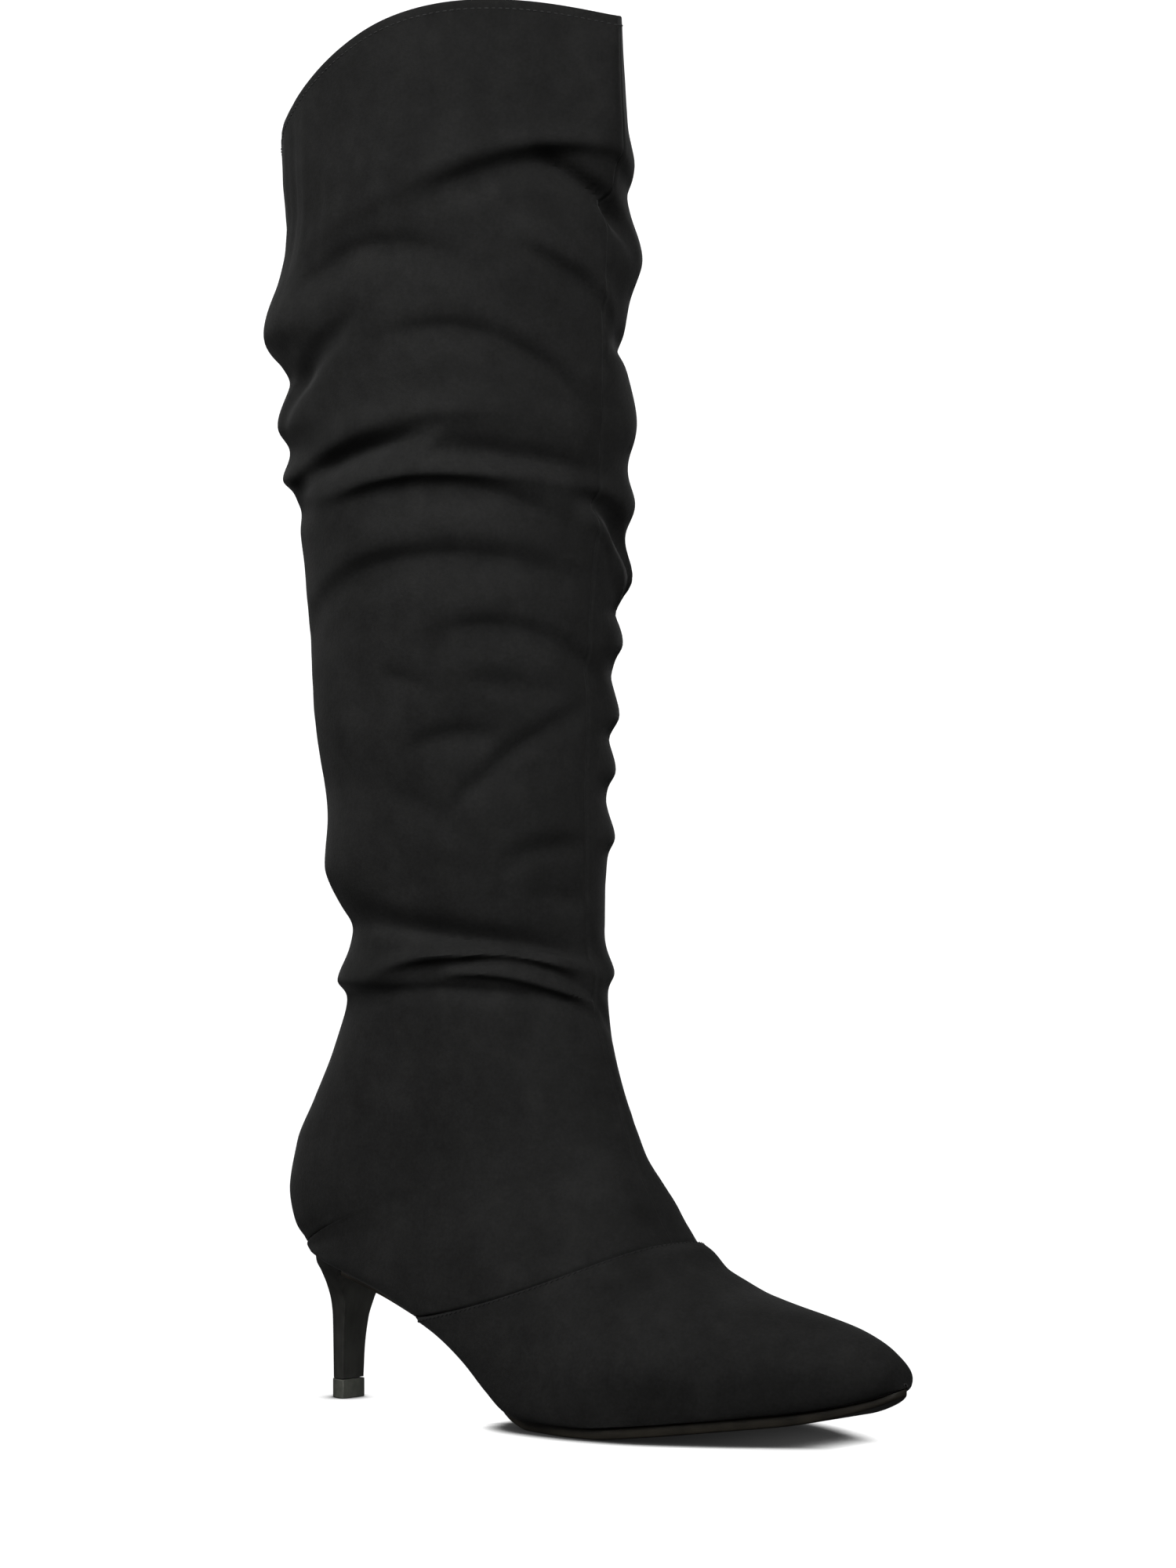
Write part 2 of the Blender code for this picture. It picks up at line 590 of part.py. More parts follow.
def add_top_lift():
    """The hard rubber tip under the heel, a little proud of it all round."""
    turn = np.linspace(0.0, math.pi / 2, HEEL_POINTS)
    x = TIP_X - TIP_DEPTH / 2 - TIP_EDGE + (TIP_DEPTH + 2 * TIP_EDGE) * (1 - np.cos(turn))
    y = (TIP_WIDTH / 2 + TIP_EDGE) * np.sin(turn)
    rings = []
    for z in (0.0, LIFT_HEIGHT):
        flat = np.full_like(x, z)
        outer = np.stack((x, -y, flat), axis=1)[::-1]
        inner = np.stack((x, y, flat), axis=1)[1:]
        rings.append(np.vstack((outer, inner)))
    add_loft("top_lift", rings, TIP_RUBBER)


def main():
    for old in list(bpy.data.objects):
        bpy.data.objects.remove(old)
    outer, inner, lap, seam = upper_skins()
    add_upper(outer, inner, lap, seam)
    add_outsole()
    add_insole(inner)
    add_heel()
    add_top_lift()


main()
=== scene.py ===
"""Looks of the slouched knee-high boot for the right foot.

Metres, in the model's own frame: +X to the toe, +Y to the inner side, +Z up.
"""

import math

import bmesh
import bpy
import numpy as np
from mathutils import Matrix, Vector, noise


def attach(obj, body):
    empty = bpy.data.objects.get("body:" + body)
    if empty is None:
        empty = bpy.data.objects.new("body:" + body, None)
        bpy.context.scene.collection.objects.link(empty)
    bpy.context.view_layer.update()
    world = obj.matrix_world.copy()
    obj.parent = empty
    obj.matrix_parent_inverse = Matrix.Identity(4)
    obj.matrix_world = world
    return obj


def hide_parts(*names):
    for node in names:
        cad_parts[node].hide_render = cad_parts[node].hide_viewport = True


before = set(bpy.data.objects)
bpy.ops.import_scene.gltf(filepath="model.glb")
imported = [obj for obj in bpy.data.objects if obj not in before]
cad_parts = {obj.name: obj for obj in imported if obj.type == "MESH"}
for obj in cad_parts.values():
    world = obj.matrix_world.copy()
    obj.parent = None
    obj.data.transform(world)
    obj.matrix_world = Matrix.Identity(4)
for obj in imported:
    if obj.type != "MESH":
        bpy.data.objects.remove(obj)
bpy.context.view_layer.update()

# Driving sizes
LENGTH = 0.250
BALL_WIDTH = 0.080
SEAT_HEIGHT = 0.050
TOE_SPRING = 0.016
TOE_DRIFT = 0.0035
INSTEP_HEIGHT = 0.060
CUP_HEIGHT = 0.086
SHAFT_HEIGHT = 0.373
SHAFT_DEPTH = 0.134
SHAFT_WIDTH = 0.102
COLLAR_CROWN = 0.0155
WALL = 0.0018
VAMP_LAP = 0.0010
LASTING_MARGIN = 0.010
SOLE_THICKNESS = 0.004
SOLE_INSET = 0.001
SOLE_CHAMFER = 0.0008
HEEL_INSET = 0.0003
INSOLE_THICKNESS = 0.0015
INSOLE_EASE = 0.0021
INSOLE_LEAST_WIDTH = 0.0075
TIP_DEPTH = 0.0078
TIP_WIDTH = 0.0105
TIP_EDGE = 0.0003
LIFT_HEIGHT = 0.0065
CLEARANCE = 0.0003

# Places along the foot, as shares of LENGTH from the back of the heel cup
SEAT_BACK = 0.030
HEEL_BREAST = 0.142
TIP_MIDDLE = 0.062
DRIFT_START = 0.45
DRIFT_RUN = 0.5

TIP_X = TIP_MIDDLE * LENGTH
MM = 0.001

# How finely the skins are drawn
CURVE_SAMPLES = 420
SIDE_POINTS = 96
FINE_MARKS = (0.4, 0.9, 1.5, 2.3)
FINE_RUN = 14.0
# Where the even marks start, as a share of the last fine one
FINE_GAP = 1.6
VAMP_STEP = 0.1
FOOT_STEP = 0.125
SEAM_STEPS = (0.01, 0.025, 0.045, 0.075)
# Rows drawn between the sections of the leg, most where the folds gather
LEG_COUNTS = (14, 16, 16, 18, 22, 30, 44, 30, 22, 16, 12, 12)
RIM_STEPS = 3
RIM_ROUNDNESS = 0.7
SOLE_RINGS = 170
HEEL_RINGS_DRAWN = 60
# Points nearer than these count as one, in metres
TOUCHING = 1e-6
WELD = 2e-6
SHORTEST_EDGE = 1e-7
SHARP_ANGLE = math.radians(50)
LEAST_LEAN = 0.65
CROWN_SKEW = 0.75
CROWN_ROUNDNESS = 1.5

# Seams and stitches, in millimetres
SEAM_DEPTH = 0.45
SEAM_WIDTH = 0.6
SEAM_RIDGE = 0.12
SEAM_RIDGE_PLACE = 2.0
SEAM_RIDGE_REACH = 1.1
# How the ridge beside a seam swells and sinks: its middle, its swing and the length of one swell
PUCKER_MIDDLE = 0.6
PUCKER_SWING = 0.4
PUCKER_LENGTH = 11.0
# The back seam is fainter than the front one, and rises out of the heel cup between two heights
BACK_SEAM_SHARE = 0.7
BACK_SEAM_START = (60, 75)
LAP_DIP = 0.7
LAP_DIP_WIDTH = 0.9
# Where the front seam runs, beside the front line. Columns: height above the floor, place to the inner side
SEAM_WANDER = (
    (0, 0.0),
    (270, 0.0),
    (310, 3.0),
    (350, 2.0),
    (400, 2.0),
    (432, 5.0),
    (480, 5.5),
)
COLLAR_STITCH_DROP = 2.6
VAMP_STITCH_DROP = 1.5
COLLAR_STITCH_SPACING = 2.3
VAMP_STITCH_SPACING = 2.1
VAMP_STITCH_SLANT = 0.35
STITCH_LENGTH = 1.5
STITCH_RADIUS = 0.23
STITCH_CORNERS = 6
# The rings of one stitch. Columns: place along its half length, size and lift (STITCH_RADIUS)
STITCH_RINGS = (
    (-1.00, 0.35, -0.35),
    (-0.55, 0.90, 0.25),
    (0.55, 0.90, 0.25),
    (1.00, 0.35, -0.35),
)

# Sole edge and heel
SOLE_TOP_ROUND = 0.0005
SOLE_CORNER_STEPS = 4
SOCK_POINTS = 7
# The rounding of the sock's edge, as a share of its thickness, and how far its flat top reaches across
SOCK_ROUND = 0.4
SOCK_TOP = (0.08, 0.92)
HEEL_POINTS = 26
BREAST_POINTS = 10
BREAST_HOLLOW = 0.0012
BREAST_HOLLOW_FULLNESS = 0.7
HEEL_BEVEL = 0.0005
HEEL_BEVEL_ANGLE = 40
TIP_BEVEL = 0.00035
TIP_BEVEL_ANGLE = 50

# Camera, from the back of the heel cup, and the studio
CAMERA_PLACE = (1.19229, -1.32021, 0.211)
CAMERA_TURN = 39.0
CAMERA_LENS = 117.74
CAMERA_SENSOR = 36.0
SUEDE_SHEEN = 0.055
# The reach of the shadow painted into the floor's glow under the boot, and the sky's strength from below
# and from above
CONTACT_REACH = 0.010
SKY_BELOW = 0.03
SKY_ABOVE = 0.26
# How far up the sky's lower and upper strength are reached: -1 straight down, 1 straight up
SKY_LOW = -0.1
SKY_HIGH = 0.7
FLOOR_RADIUS = 7.9
FLOOR_SEGMENTS = 96
FLOOR_GLOW = 1.1
DOME_RADIUS = 8.0
DOME_DIVISIONS = 4
DOME_GLOW = 1.15
# Columns: name, place, what it looks at, width, height, spread (degrees), power
LAMPS = (
    ("key", (0.70, -0.68, 0.95), (0.04, 0.0, 0.285), 0.6, 0.6, 44, 1.42),
    ("left", (-0.70, -0.90, 0.90), (0.04, 0.0, 0.28), 0.6, 0.6, 50, 0.95),
    ("low", (1.10, -0.80, 0.10), (0.00, 0.0, 0.02), 0.3, 0.15, 180, 0.8),
    ("breast", (0.105, -0.080, 0.006), (0.013, -0.004, 0.026), 0.02, 0.02, 36, 0.0034),
)

# Height of the feather edge along the sole, where the upper meets it.
# Columns: place from the seat's back to the toe, share of the seat's rise, share of the toe spring
FEATHER = (
    (0.000, 1.045, 0.00),
    (0.060, 1.005, 0.00),
    (0.120, 0.930, 0.00),
    (0.180, 0.835, 0.00),
    (0.240, 0.705, 0.00),
    (0.300, 0.560, 0.00),
    (0.360, 0.365, 0.00),
    (0.410, 0.165, 0.00),
    (0.450, 0.038, 0.00),
    (0.485, 0.000, 0.00),
    (0.600, 0.000, 0.00),
    (0.690, 0.000, 0.12),
    (0.780, 0.000, 0.28),
    (0.890, 0.000, 0.50),
    (0.970, 0.000, 0.80),
    (1.000, 0.000, 1.00),
)

# Half widths of the feather edge. Columns: place, outer side, inner side, as shares of BALL_WIDTH
OUTLINE = (
    (0.000, 0.000, 0.000),
    (0.020, 0.150, 0.150),
    (0.050, 0.240, 0.240),
    (0.100, 0.315, 0.315),
    (0.160, 0.333, 0.327),
    (0.230, 0.322, 0.304),
    (0.300, 0.317, 0.273),
    (0.370, 0.342, 0.268),
    (0.440, 0.394, 0.306),
    (0.510, 0.456, 0.375),
    (0.570, 0.500, 0.450),
    (0.630, 0.506, 0.506),
    (0.680, 0.481, 0.500),
    (0.752, 0.400, 0.438),
    (0.815, 0.325, 0.350),
    (0.887, 0.231, 0.238),
    (0.938, 0.156, 0.150),
    (0.971, 0.100, 0.088),
    (0.990, 0.062, 0.050),
    (1.000, 0.000, 0.000),
)

# Sections of the foot, each a plane from the top line of the foot to the sole or the heel cup. The
# toe's drift ends between DRIFT_ROWS.
# Columns: top place (LENGTH), top above the bottom end (INSTEP_HEIGHT), bottom place (LENGTH),
# bottom above the seat (CUP_HEIGHT), outer and inner half width (BALL_WIDTH), where the section is
# widest, roundness of the ridge, sag of the middle (INSTEP_HEIGHT), fullness of the side
FOOT = (
    (0.998, 0.02, 1.000, 0.00, 0.000, 0.000, 0.50, 1.00, 0.000, 2.00),
    (0.990, 0.12, 0.992, 0.00, 0.085, 0.080, 0.55, 1.00, 0.000, 2.00),
    (0.960, 0.27, 0.964, 0.00, 0.150, 0.144, 0.58, 1.00, 0.000, 2.20),
    (0.912, 0.41, 0.908, 0.00, 0.233, 0.233, 0.62, 1.00, 0.000, 2.40),
    (0.854, 0.505, 0.844, 0.00, 0.320, 0.338, 0.66, 1.00, 0.000, 2.60),
    (0.796, 0.595, 0.760, 0.00, 0.413, 0.438, 0.68, 1.00, 0.000, 2.80),
    (0.748, 0.68, 0.672, 0.00, 0.498, 0.515, 0.68, 0.95, -0.01, 2.80),
    (0.708, 0.77, 0.580, 0.00, 0.519, 0.506, 0.68, 0.90, -0.025, 2.80),
    (0.680, 0.82, 0.480, 0.00, 0.498, 0.481, 0.66, 0.85, -0.05, 2.80),
    (0.657, 0.645, 0.384, 0.00, 0.465, 0.463, 0.64, 0.78, -0.05, 2.80),
    (0.637, 0.46, 0.292, 0.00, 0.448, 0.450, 0.62, 0.70, -0.06, 2.80),
    (0.621, 0.40, 0.212, 0.00, 0.433, 0.437, 0.60, 0.66, -0.05, 2.40),
    (0.605, 0.43, 0.148, 0.00, 0.426, 0.426, 0.60, 0.66, -0.035, 2.00),
    (0.587, 0.495, 0.092, 0.00, 0.418, 0.418, 0.60, 0.72, -0.025, 1.85),
    (0.570, 0.61, 0.052, 0.00, 0.410, 0.410, 0.61, 0.85, -0.01, 1.85),
    (0.557, 0.75, 0.036, 0.00, 0.410, 0.408, 0.62, 0.93, 0.000, 1.95),
    (0.552, 0.80, 0.030, 0.00, 0.412, 0.410, 0.62, 0.96, 0.000, 2.05),
    (0.549, 0.81, 0.0265, 0.022, 0.413, 0.411, 0.62, 0.98, 0.000, 2.20),
    (0.545, 0.79, 0.012, 0.07, 0.415, 0.412, 0.62, 1.00, 0.000, 2.22),
    (0.534, 0.71, -0.003, 0.22, 0.418, 0.416, 0.60, 1.05, 0.000, 2.18),
    (0.524, 0.58, 0.005, 0.40, 0.415, 0.415, 0.57, 1.08, 0.000, 2.05),
    (0.515, 0.45, 0.036, 0.58, 0.416, 0.416, 0.54, 1.10, 0.000, 2.00),
    (0.507, 0.31, 0.074, 0.79, 0.421, 0.421, 0.52, 1.12, 0.000, 2.00),
)
VAMP_SEAM_ROW = 10
LAST_INSOLE_ROW = 14
LAST_SOLE_ROW = 16
DRIFT_ROWS = (16, 22)

# Sections of the leg. Columns: front and back height above the seat (SHAFT_HEIGHT), middle (LENGTH),
# depth (SHAFT_DEPTH), width (SHAFT_WIDTH), roundness of the front, crown (COLLAR_CROWN)
LEG = (
    (0.263, 0.231, 0.301, 0.742, 0.671, 1.12, 0.00),
    (0.300, 0.284, 0.303, 0.713, 0.698, 1.10, 0.00),
    (0.348, 0.341, 0.296, 0.724, 0.753, 1.10, 0.00),
    (0.410, 0.408, 0.285, 0.765, 0.816, 1.10, 0.00),
    (0.496, 0.491, 0.279, 0.802, 0.875, 1.08, 0.00),
    (0.611, 0.601, 0.275, 0.845, 0.930, 1.05, 0.00),
    (0.740, 0.713, 0.269, 0.899, 0.996, 1.10, 0.00),
    (0.847, 0.804, 0.266, 0.933, 1.010, 1.20, 0.13),
    (0.933, 0.871, 0.268, 0.963, 1.006, 1.40, 0.39),
    (1.000, 0.917, 0.276, 0.984, 1.010, 1.60, 0.68),
    (1.054, 0.960, 0.274, 1.005, 1.004, 1.80, 0.87),
    (1.104, 1.000, 0.272, 1.016, 0.992, 1.95, 1.01),
)

# The heel's rings, from its tip to the seat. Columns: level, then how far the back, the breast and
# the half width have gone from the tip's to the seat's
HEEL_RINGS = (
    (0.000, 0.00, 0.00, 0.000),
    (0.226, 0.03, 0.02, 0.015),
    (0.473, 0.07, 0.09, 0.050),
    (0.598, 0.22, 0.16, 0.100),
    (0.719, 0.54, 0.22, 0.220),
    (0.838, 0.84, 0.45, 0.500),
    (0.930, 0.97, 0.75, 0.840),
    (1.000, 1.00, 1.00, 1.000),
)

# The outsole's thickness. Columns: place, share of SOLE_THICKNESS
SOLE_DEPTH = (
    (0.00, 0.60),
    (0.30, 0.60),
    (0.45, 1.00),
    (0.85, 1.00),
    (1.00, 0.65),
)

# The creases of the outer side and front, listed one by one: troughs are negative, ridges positive.
# Columns: start and end round the leg (-1 back, outer side; 0 front; 1 back, inner side; what starts
# before -1 runs over the back line), height above the floor at the start, middle and end, depth, reach
# above and below (all in millimetres)
CREASES = (
    # the lower edge of the smooth band, and the deep hollow under it beside the front seam
    (-0.76, 0.18, 380, 414, 427, 1.7, 12, 5.0),
    (-0.36, -0.04, 403, 414, 417, -3.4, 3.6, 6.0),
    (-0.17, 0.12, 419, 406, 390, -5.0, 3.0, 5.0),
    (-0.42, 0.12, 406, 423, 414, 1.3, 3.0, 3.0),
    (-0.02, 0.30, 412, 410, 402, -0.7, 4.0, 5.0),
    (0.00, 0.42, 421, 418, 414, 2.6, 6.0, 10),
    # the lobe at the back and the hollows beside it
    (-1.16, -0.54, 356, 365, 370, 7.6, 14, 10),
    (-0.70, -0.26, 368, 388, 380, -2.8, 4.0, 8.0),
    (-0.78, -0.48, 332, 353, 367, -3.0, 4.0, 7.0),
    (-0.98, -0.60, 346, 347, 348, -1.2, 4.0, 4.0),
    # the upper front
    (-0.22, 0.06, 394, 385, 366, 1.6, 6.0, 3.5),
    (-0.18, 0.06, 386, 377, 360, -1.2, 3.0, 6.0),
    (0.00, 0.52, 384, 390, 383, 6.2, 13, 14),
    (0.02, 0.34, 358, 356, 352, -2.8, 5.0, 4.0),
    (-0.48, 0.05, 354, 357, 320, -2.7, 3.6, 7.0),
    (-0.16, -0.06, 341, 338, 334, -1.2, 3.0, 4.0),
    (0.00, 0.44, 328, 333, 326, 4.2, 14, 12),
    # the gathered middle, three hollows with sharp ridges between them
    (-1.10, -0.58, 330, 334, 334, 4.0, 8.0, 7.0),
    (-0.68, -0.14, 315, 333, 331, 1.9, 6.0, 4.0),
    (-0.78, -0.33, 309, 319, 327, -4.6, 3.0, 4.6),
    (-0.37, 0.05, 322, 317, 310, -4.0, 5.5, 4.2),
    (-0.42, -0.30, 313, 320, 328, 0.9, 3.0, 3.0),
    (-1.08, -0.58, 312, 316, 311, 3.8, 5.0, 4.5),
    (-0.70, 0.14, 303, 314, 303, 2.5, 4.0, 3.6),
    (-0.60, -0.02, 300, 309, 290, -2.5, 3.4, 8.0),
    (-0.08, 0.22, 305, 299, 268, -3.6, 4.0, 5.0),
    (-0.06, 0.16, 299, 292, 264, 1.4, 3.5, 3.5),
    (0.02, 0.44, 308, 305, 300, 4.2, 8.0, 9.0),
    (0.06, 0.44, 285, 280, 272, 5.2, 9.0, 8.0),
    (-1.05, -0.62, 302, 303, 303, -1.4, 4.0, 5.0),
    # the calmer lower leg
    (-0.80, 0.02, 261, 285, 274, -2.5, 4.0, 8.0),
    (-0.72, 0.00, 272, 295, 286, 1.0, 6.0, 6.0),
    (-0.40, 0.09, 257, 261, 239, -2.4, 3.6, 6.5),
    (-0.30, -0.05, 245, 243, 240, -1.3, 4.0, 4.0),
    (-0.50, -0.36, 246, 245, 241, -1.3, 3.5, 4.0),
    (-0.44, -0.20, 221, 227, 225, -2.0, 3.5, 5.0),
    (-0.35, -0.01, 200, 222, 235, -2.2, 4.0, 4.0),
    (-0.54, -0.30, 212, 203, 198, -1.1, 6.0, 6.0),
    (-0.24, 0.01, 183, 190, 189, -1.8, 4.0, 5.0),
    (-0.16, 0.00, 174, 173, 169, -1.1, 4.0, 4.0),
    (-0.34, -0.02, 196, 206, 214, 0.8, 6.0, 6.0),
    (0.02, 0.36, 258, 259, 256, 2.6, 7.0, 5.0),
    (0.02, 0.36, 236, 235, 232, 2.8, 6.5, 5.0),
    (0.02, 0.36, 216, 216, 214, 2.6, 6.0, 5.0),
    (0.02, 0.36, 195, 194, 192, 2.6, 6.0, 5.0),
    (0.00, 0.32, 268, 268, 266, -1.2, 3.0, 3.0),
    (0.00, 0.32, 247, 247, 244, -0.5, 3.0, 3.0),
    (0.00, 0.32, 226, 226, 224, -0.7, 3.0, 3.0),
    (0.00, 0.32, 205, 205, 203, -0.3, 3.0, 3.0),
    # the folds that sink over the ankle
    (-1.24, -0.48, 180, 184, 185, 5.4, 12, 13),
    (-1.12, -0.60, 232, 232, 232, 1.0, 24, 24),
    (-0.72, 0.06, 165, 159, 153, -4.2, 6.0, 2.2),
    (-1.06, -0.60, 162, 163, 166, -1.2, 5.0, 4.0),
    (-0.66, 0.06, 148, 156, 146, 3.0, 1.9, 2.8),
    (-1.20, -0.46, 141, 146, 148, 4.4, 8.0, 4.4),
    (-0.44, 0.06, 147, 147.5, 131, 2.4, 2.0, 2.0),
    (-0.38, 0.06, 151, 151.5, 133, -1.5, 1.8, 2.3),
    (-0.64, -0.06, 140, 143, 139, -1.6, 2.0, 3.4),
    (-0.14, 0.10, 141, 137, 130, -1.6, 2.4, 5.0),
    (-0.04, 0.40, 148, 149, 146, 2.8, 6.0, 4.5),
)

# The hidden inner side takes the same creases mirrored, a little lower and softer
MIRROR_TURN = 0.05
MIRROR_DROP = 7.0
MIRROR_DEPTH = 0.85
MIRROR_FROM = (0.16, 0.42)

# Upright ripples in the band at the back of the outer side. Columns: place round the leg, depth, reach
# (millimetres)
RIPPLES = (
    (-0.600, -0.45, 2.6),
    (-0.660, 0.40, 2.4),
    (-0.710, -0.50, 2.2),
    (-0.765, 0.45, 2.2),
    (-0.820, -0.45, 2.2),
    (-0.880, 0.35, 2.6),
)
RIPPLE_HEIGHTS = (352, 412, 448)

# Slow unevenness of the hide. Columns: size along and up the leg, depth on the leg and on the foot
# (millimetres)
UNEVENNESS = (
    (46.0, 17.0, 0.62, 0.16),
    (17.0, 7.0, 0.20, 0.05),
)
# How far each row's noise is moved from the one before, in spots
NOISE_STEP = 3.7
# How far a fold sinks, as a share of how far it stands out
FOLD_SAG = 0.35
# The heights between which the leg's unevenness comes in and goes out, in millimetres
SLOUCH_START = (120, 160)
SLOUCH_END = (405, 432)


def smooth_rows(rows, place):
    """Read a table at any place, on a cubic that never overshoots its rows."""
    table = np.array(rows, dtype=float)
    keys = table[:, 0]
    values = table[:, 1:]
    step = np.diff(keys)[:, None]
    slope = np.diff(values, axis=0) / step
    tangent = np.zeros_like(values)
    tangent[0] = slope[0]
    tangent[-1] = slope[-1]
    before = slope[:-1]
    after = slope[1:]
    same_way = before * after > 0
    total = np.where(same_way, before + after, 1.0)
    tangent[1:-1] = np.where(same_way, 2 * before * after / total, 0.0)
    place = np.clip(np.atleast_1d(place), keys[0], keys[-1])
    row = np.clip(np.searchsorted(keys, place) - 1, 0, len(keys) - 2)
    width = step[row]
    t = ((place - keys[row]) / step[row, 0])[:, None]
    return (
        (2 * t**3 - 3 * t**2 + 1) * values[row]
        + (t**3 - 2 * t**2 + t) * width * tangent[row]
        + (3 * t**2 - 2 * t**3) * values[row + 1]
        + (t**3 - t**2) * width * tangent[row + 1]
    )


def seat_share(along):
    """Turn a share of LENGTH into a place from the seat's back, 0, to the toe, 1."""
    return np.clip((np.asarray(along, dtype=float) - SEAT_BACK) / (1 - SEAT_BACK), 0.0, 1.0)


def feather_height(along):
    """Height of the feather edge above the floor."""
    rise, spring = smooth_rows(FEATHER, seat_share(along)).T
    return SOLE_THICKNESS + rise * (SEAT_HEIGHT - SOLE_THICKNESS) + spring * TOE_SPRING


def feather_halves(along):
    """Half widths of the sole's outline; reading it on a circle keeps heel and toe round."""
    rows = [(math.acos(1 - 2 * place), outer, inner) for place, outer, inner in OUTLINE]
    return BALL_WIDTH * smooth_rows(rows, np.arccos(1 - 2 * seat_share(along)))


def toe_drift(along):
    """How far the middle line of the forefoot leans to the inner side."""
    reach = np.clip((seat_share(along) - DRIFT_START) / DRIFT_RUN, 0.0, 1.0)
    return TOE_DRIFT * reach * reach * (3 - 2 * reach)


def section_table():
    """All sections in metres, from the toe to the collar."""
    seat = float(feather_height(SEAT_BACK)[0])
    rows = []
    for top, rise, bottom, lift, outer, inner, widest, ridge, sag, fullness in FOOT:
        bottom_z = float(feather_height(bottom)[0]) if lift == 0 else seat + lift * CUP_HEIGHT
        rows.append((
            top * LENGTH, bottom_z + rise * INSTEP_HEIGHT, bottom * LENGTH, lift * CUP_HEIGHT,
            outer * BALL_WIDTH, inner * BALL_WIDTH, widest, ridge, sag * INSTEP_HEIGHT, 0.0, fullness,
        ))
    for front, back, middle, depth, width, ridge, crown in LEG:
        half_depth = 0.5 * depth * SHAFT_DEPTH
        half_width = 0.5 * width * SHAFT_WIDTH
        rows.append((
            middle * LENGTH + half_depth, seat + front * SHAFT_HEIGHT, middle * LENGTH - half_depth,
            back * SHAFT_HEIGHT, half_width, half_width, 0.5, ridge, 0.0, crown * COLLAR_CROWN, 2.0,
        ))
    return [(float(number),) + row for number, row in enumerate(rows)]


SECTIONS = section_table()


def run_along(points):
    """Distance from the first point, or the first row of points, along those that follow."""
    steps = np.linalg.norm(np.diff(points, axis=0), axis=-1)
    return np.concatenate((np.zeros_like(steps[:1]), np.cumsum(steps, axis=0)))


def side_marks(total):
    """Places along one side of a section: fine at both ends, even between, in metres."""
    scale = min(1.0, total / (FINE_RUN * MM)) * MM
    fine = np.array(FINE_MARKS) * scale
    gap = fine[-1] * FINE_GAP
    middle = np.linspace(gap, total - gap, SIDE_POINTS)
    return np.concatenate(([0.0], fine, middle, (total - fine)[::-1], [total]))


def seam_place(height):
    """How far the front seam wanders from the front line at a height, in metres."""
    heights, places = zip(*SEAM_WANDER)
    return np.interp(height, np.array(heights) * MM, np.array(places) * MM)


def section_points(number):
    """One section, from the inner edge of its outer margin, over the front seam, to the inner side's."""
    top_x, top_z, bottom_x, lift, outer, inner, widest, ridge, sag, crown, fullness = (
        smooth_rows(SECTIONS, number)[0])
    on_sole = number <= LAST_SOLE_ROW
    if on_sole:
        bottom_x = max(bottom_x, SEAT_BACK * LENGTH)
        bottom_z = float(feather_height(bottom_x / LENGTH)[0])
        feather = feather_halves(bottom_x / LENGTH)[0]
    else:
        bottom_z = float(feather_height(SEAT_BACK)[0]) + lift
        feather = (0.0, 0.0)
    top_y = float(toe_drift(top_x / LENGTH)) * float(np.interp(number, DRIFT_ROWS, (1.0, 0.0)))
    bottom_y = float(toe_drift(bottom_x / LENGTH))
    turn = np.linspace(0.0, math.pi / 2, CURVE_SAMPLES)
    curves = []
    runs = []
    margins = []
    for side, half, edge in ((-1, outer, feather[0]), (1, inner, feather[1])):
        half = max(half, edge)
        kept = edge / half if half > 0 else 0.0
        down = np.concatenate((
            widest * (1 - np.cos(turn)),
            widest + (1 - widest) * np.sin(turn[1:]) ** (2 / fullness)))
        out = half * np.concatenate((
            np.sin(turn) ** ridge,
            kept + (1 - kept) * np.cos(turn[1:]) ** (2 / fullness)))
        eased = down ** CROWN_SKEW
        z = top_z + (bottom_z - top_z) * down
        z += sag * 4 * down * (1 - down) + crown * (4 * eased * (1 - eased)) ** CROWN_ROUNDNESS
        y = top_y + (bottom_y - top_y) * down + side * out
        curve = np.stack((top_x + (bottom_x - top_x) * down, y, z), axis=1)
        runs.append(run_along(curve))
        curves.append(curve)
        margins.append((bottom_x, bottom_y + side * (edge - min(LASTING_MARGIN, edge)), bottom_z))
    whole = np.vstack((curves[0][::-1], curves[1][1:]))
    run = np.concatenate((-runs[0][::-1], runs[1][1:]))
    seam = float(seam_place(top_z))
    outer_marks = seam - side_marks(seam - run[0])
    inner_marks = seam + side_marks(run[-1] - seam)
    marks = np.concatenate((outer_marks[::-1], inner_marks[1:]))
    line = np.stack([np.interp(marks, run, whole[:, axis]) for axis in range(3)], axis=1)
    return np.vstack((margins[0], line, margins[1]))


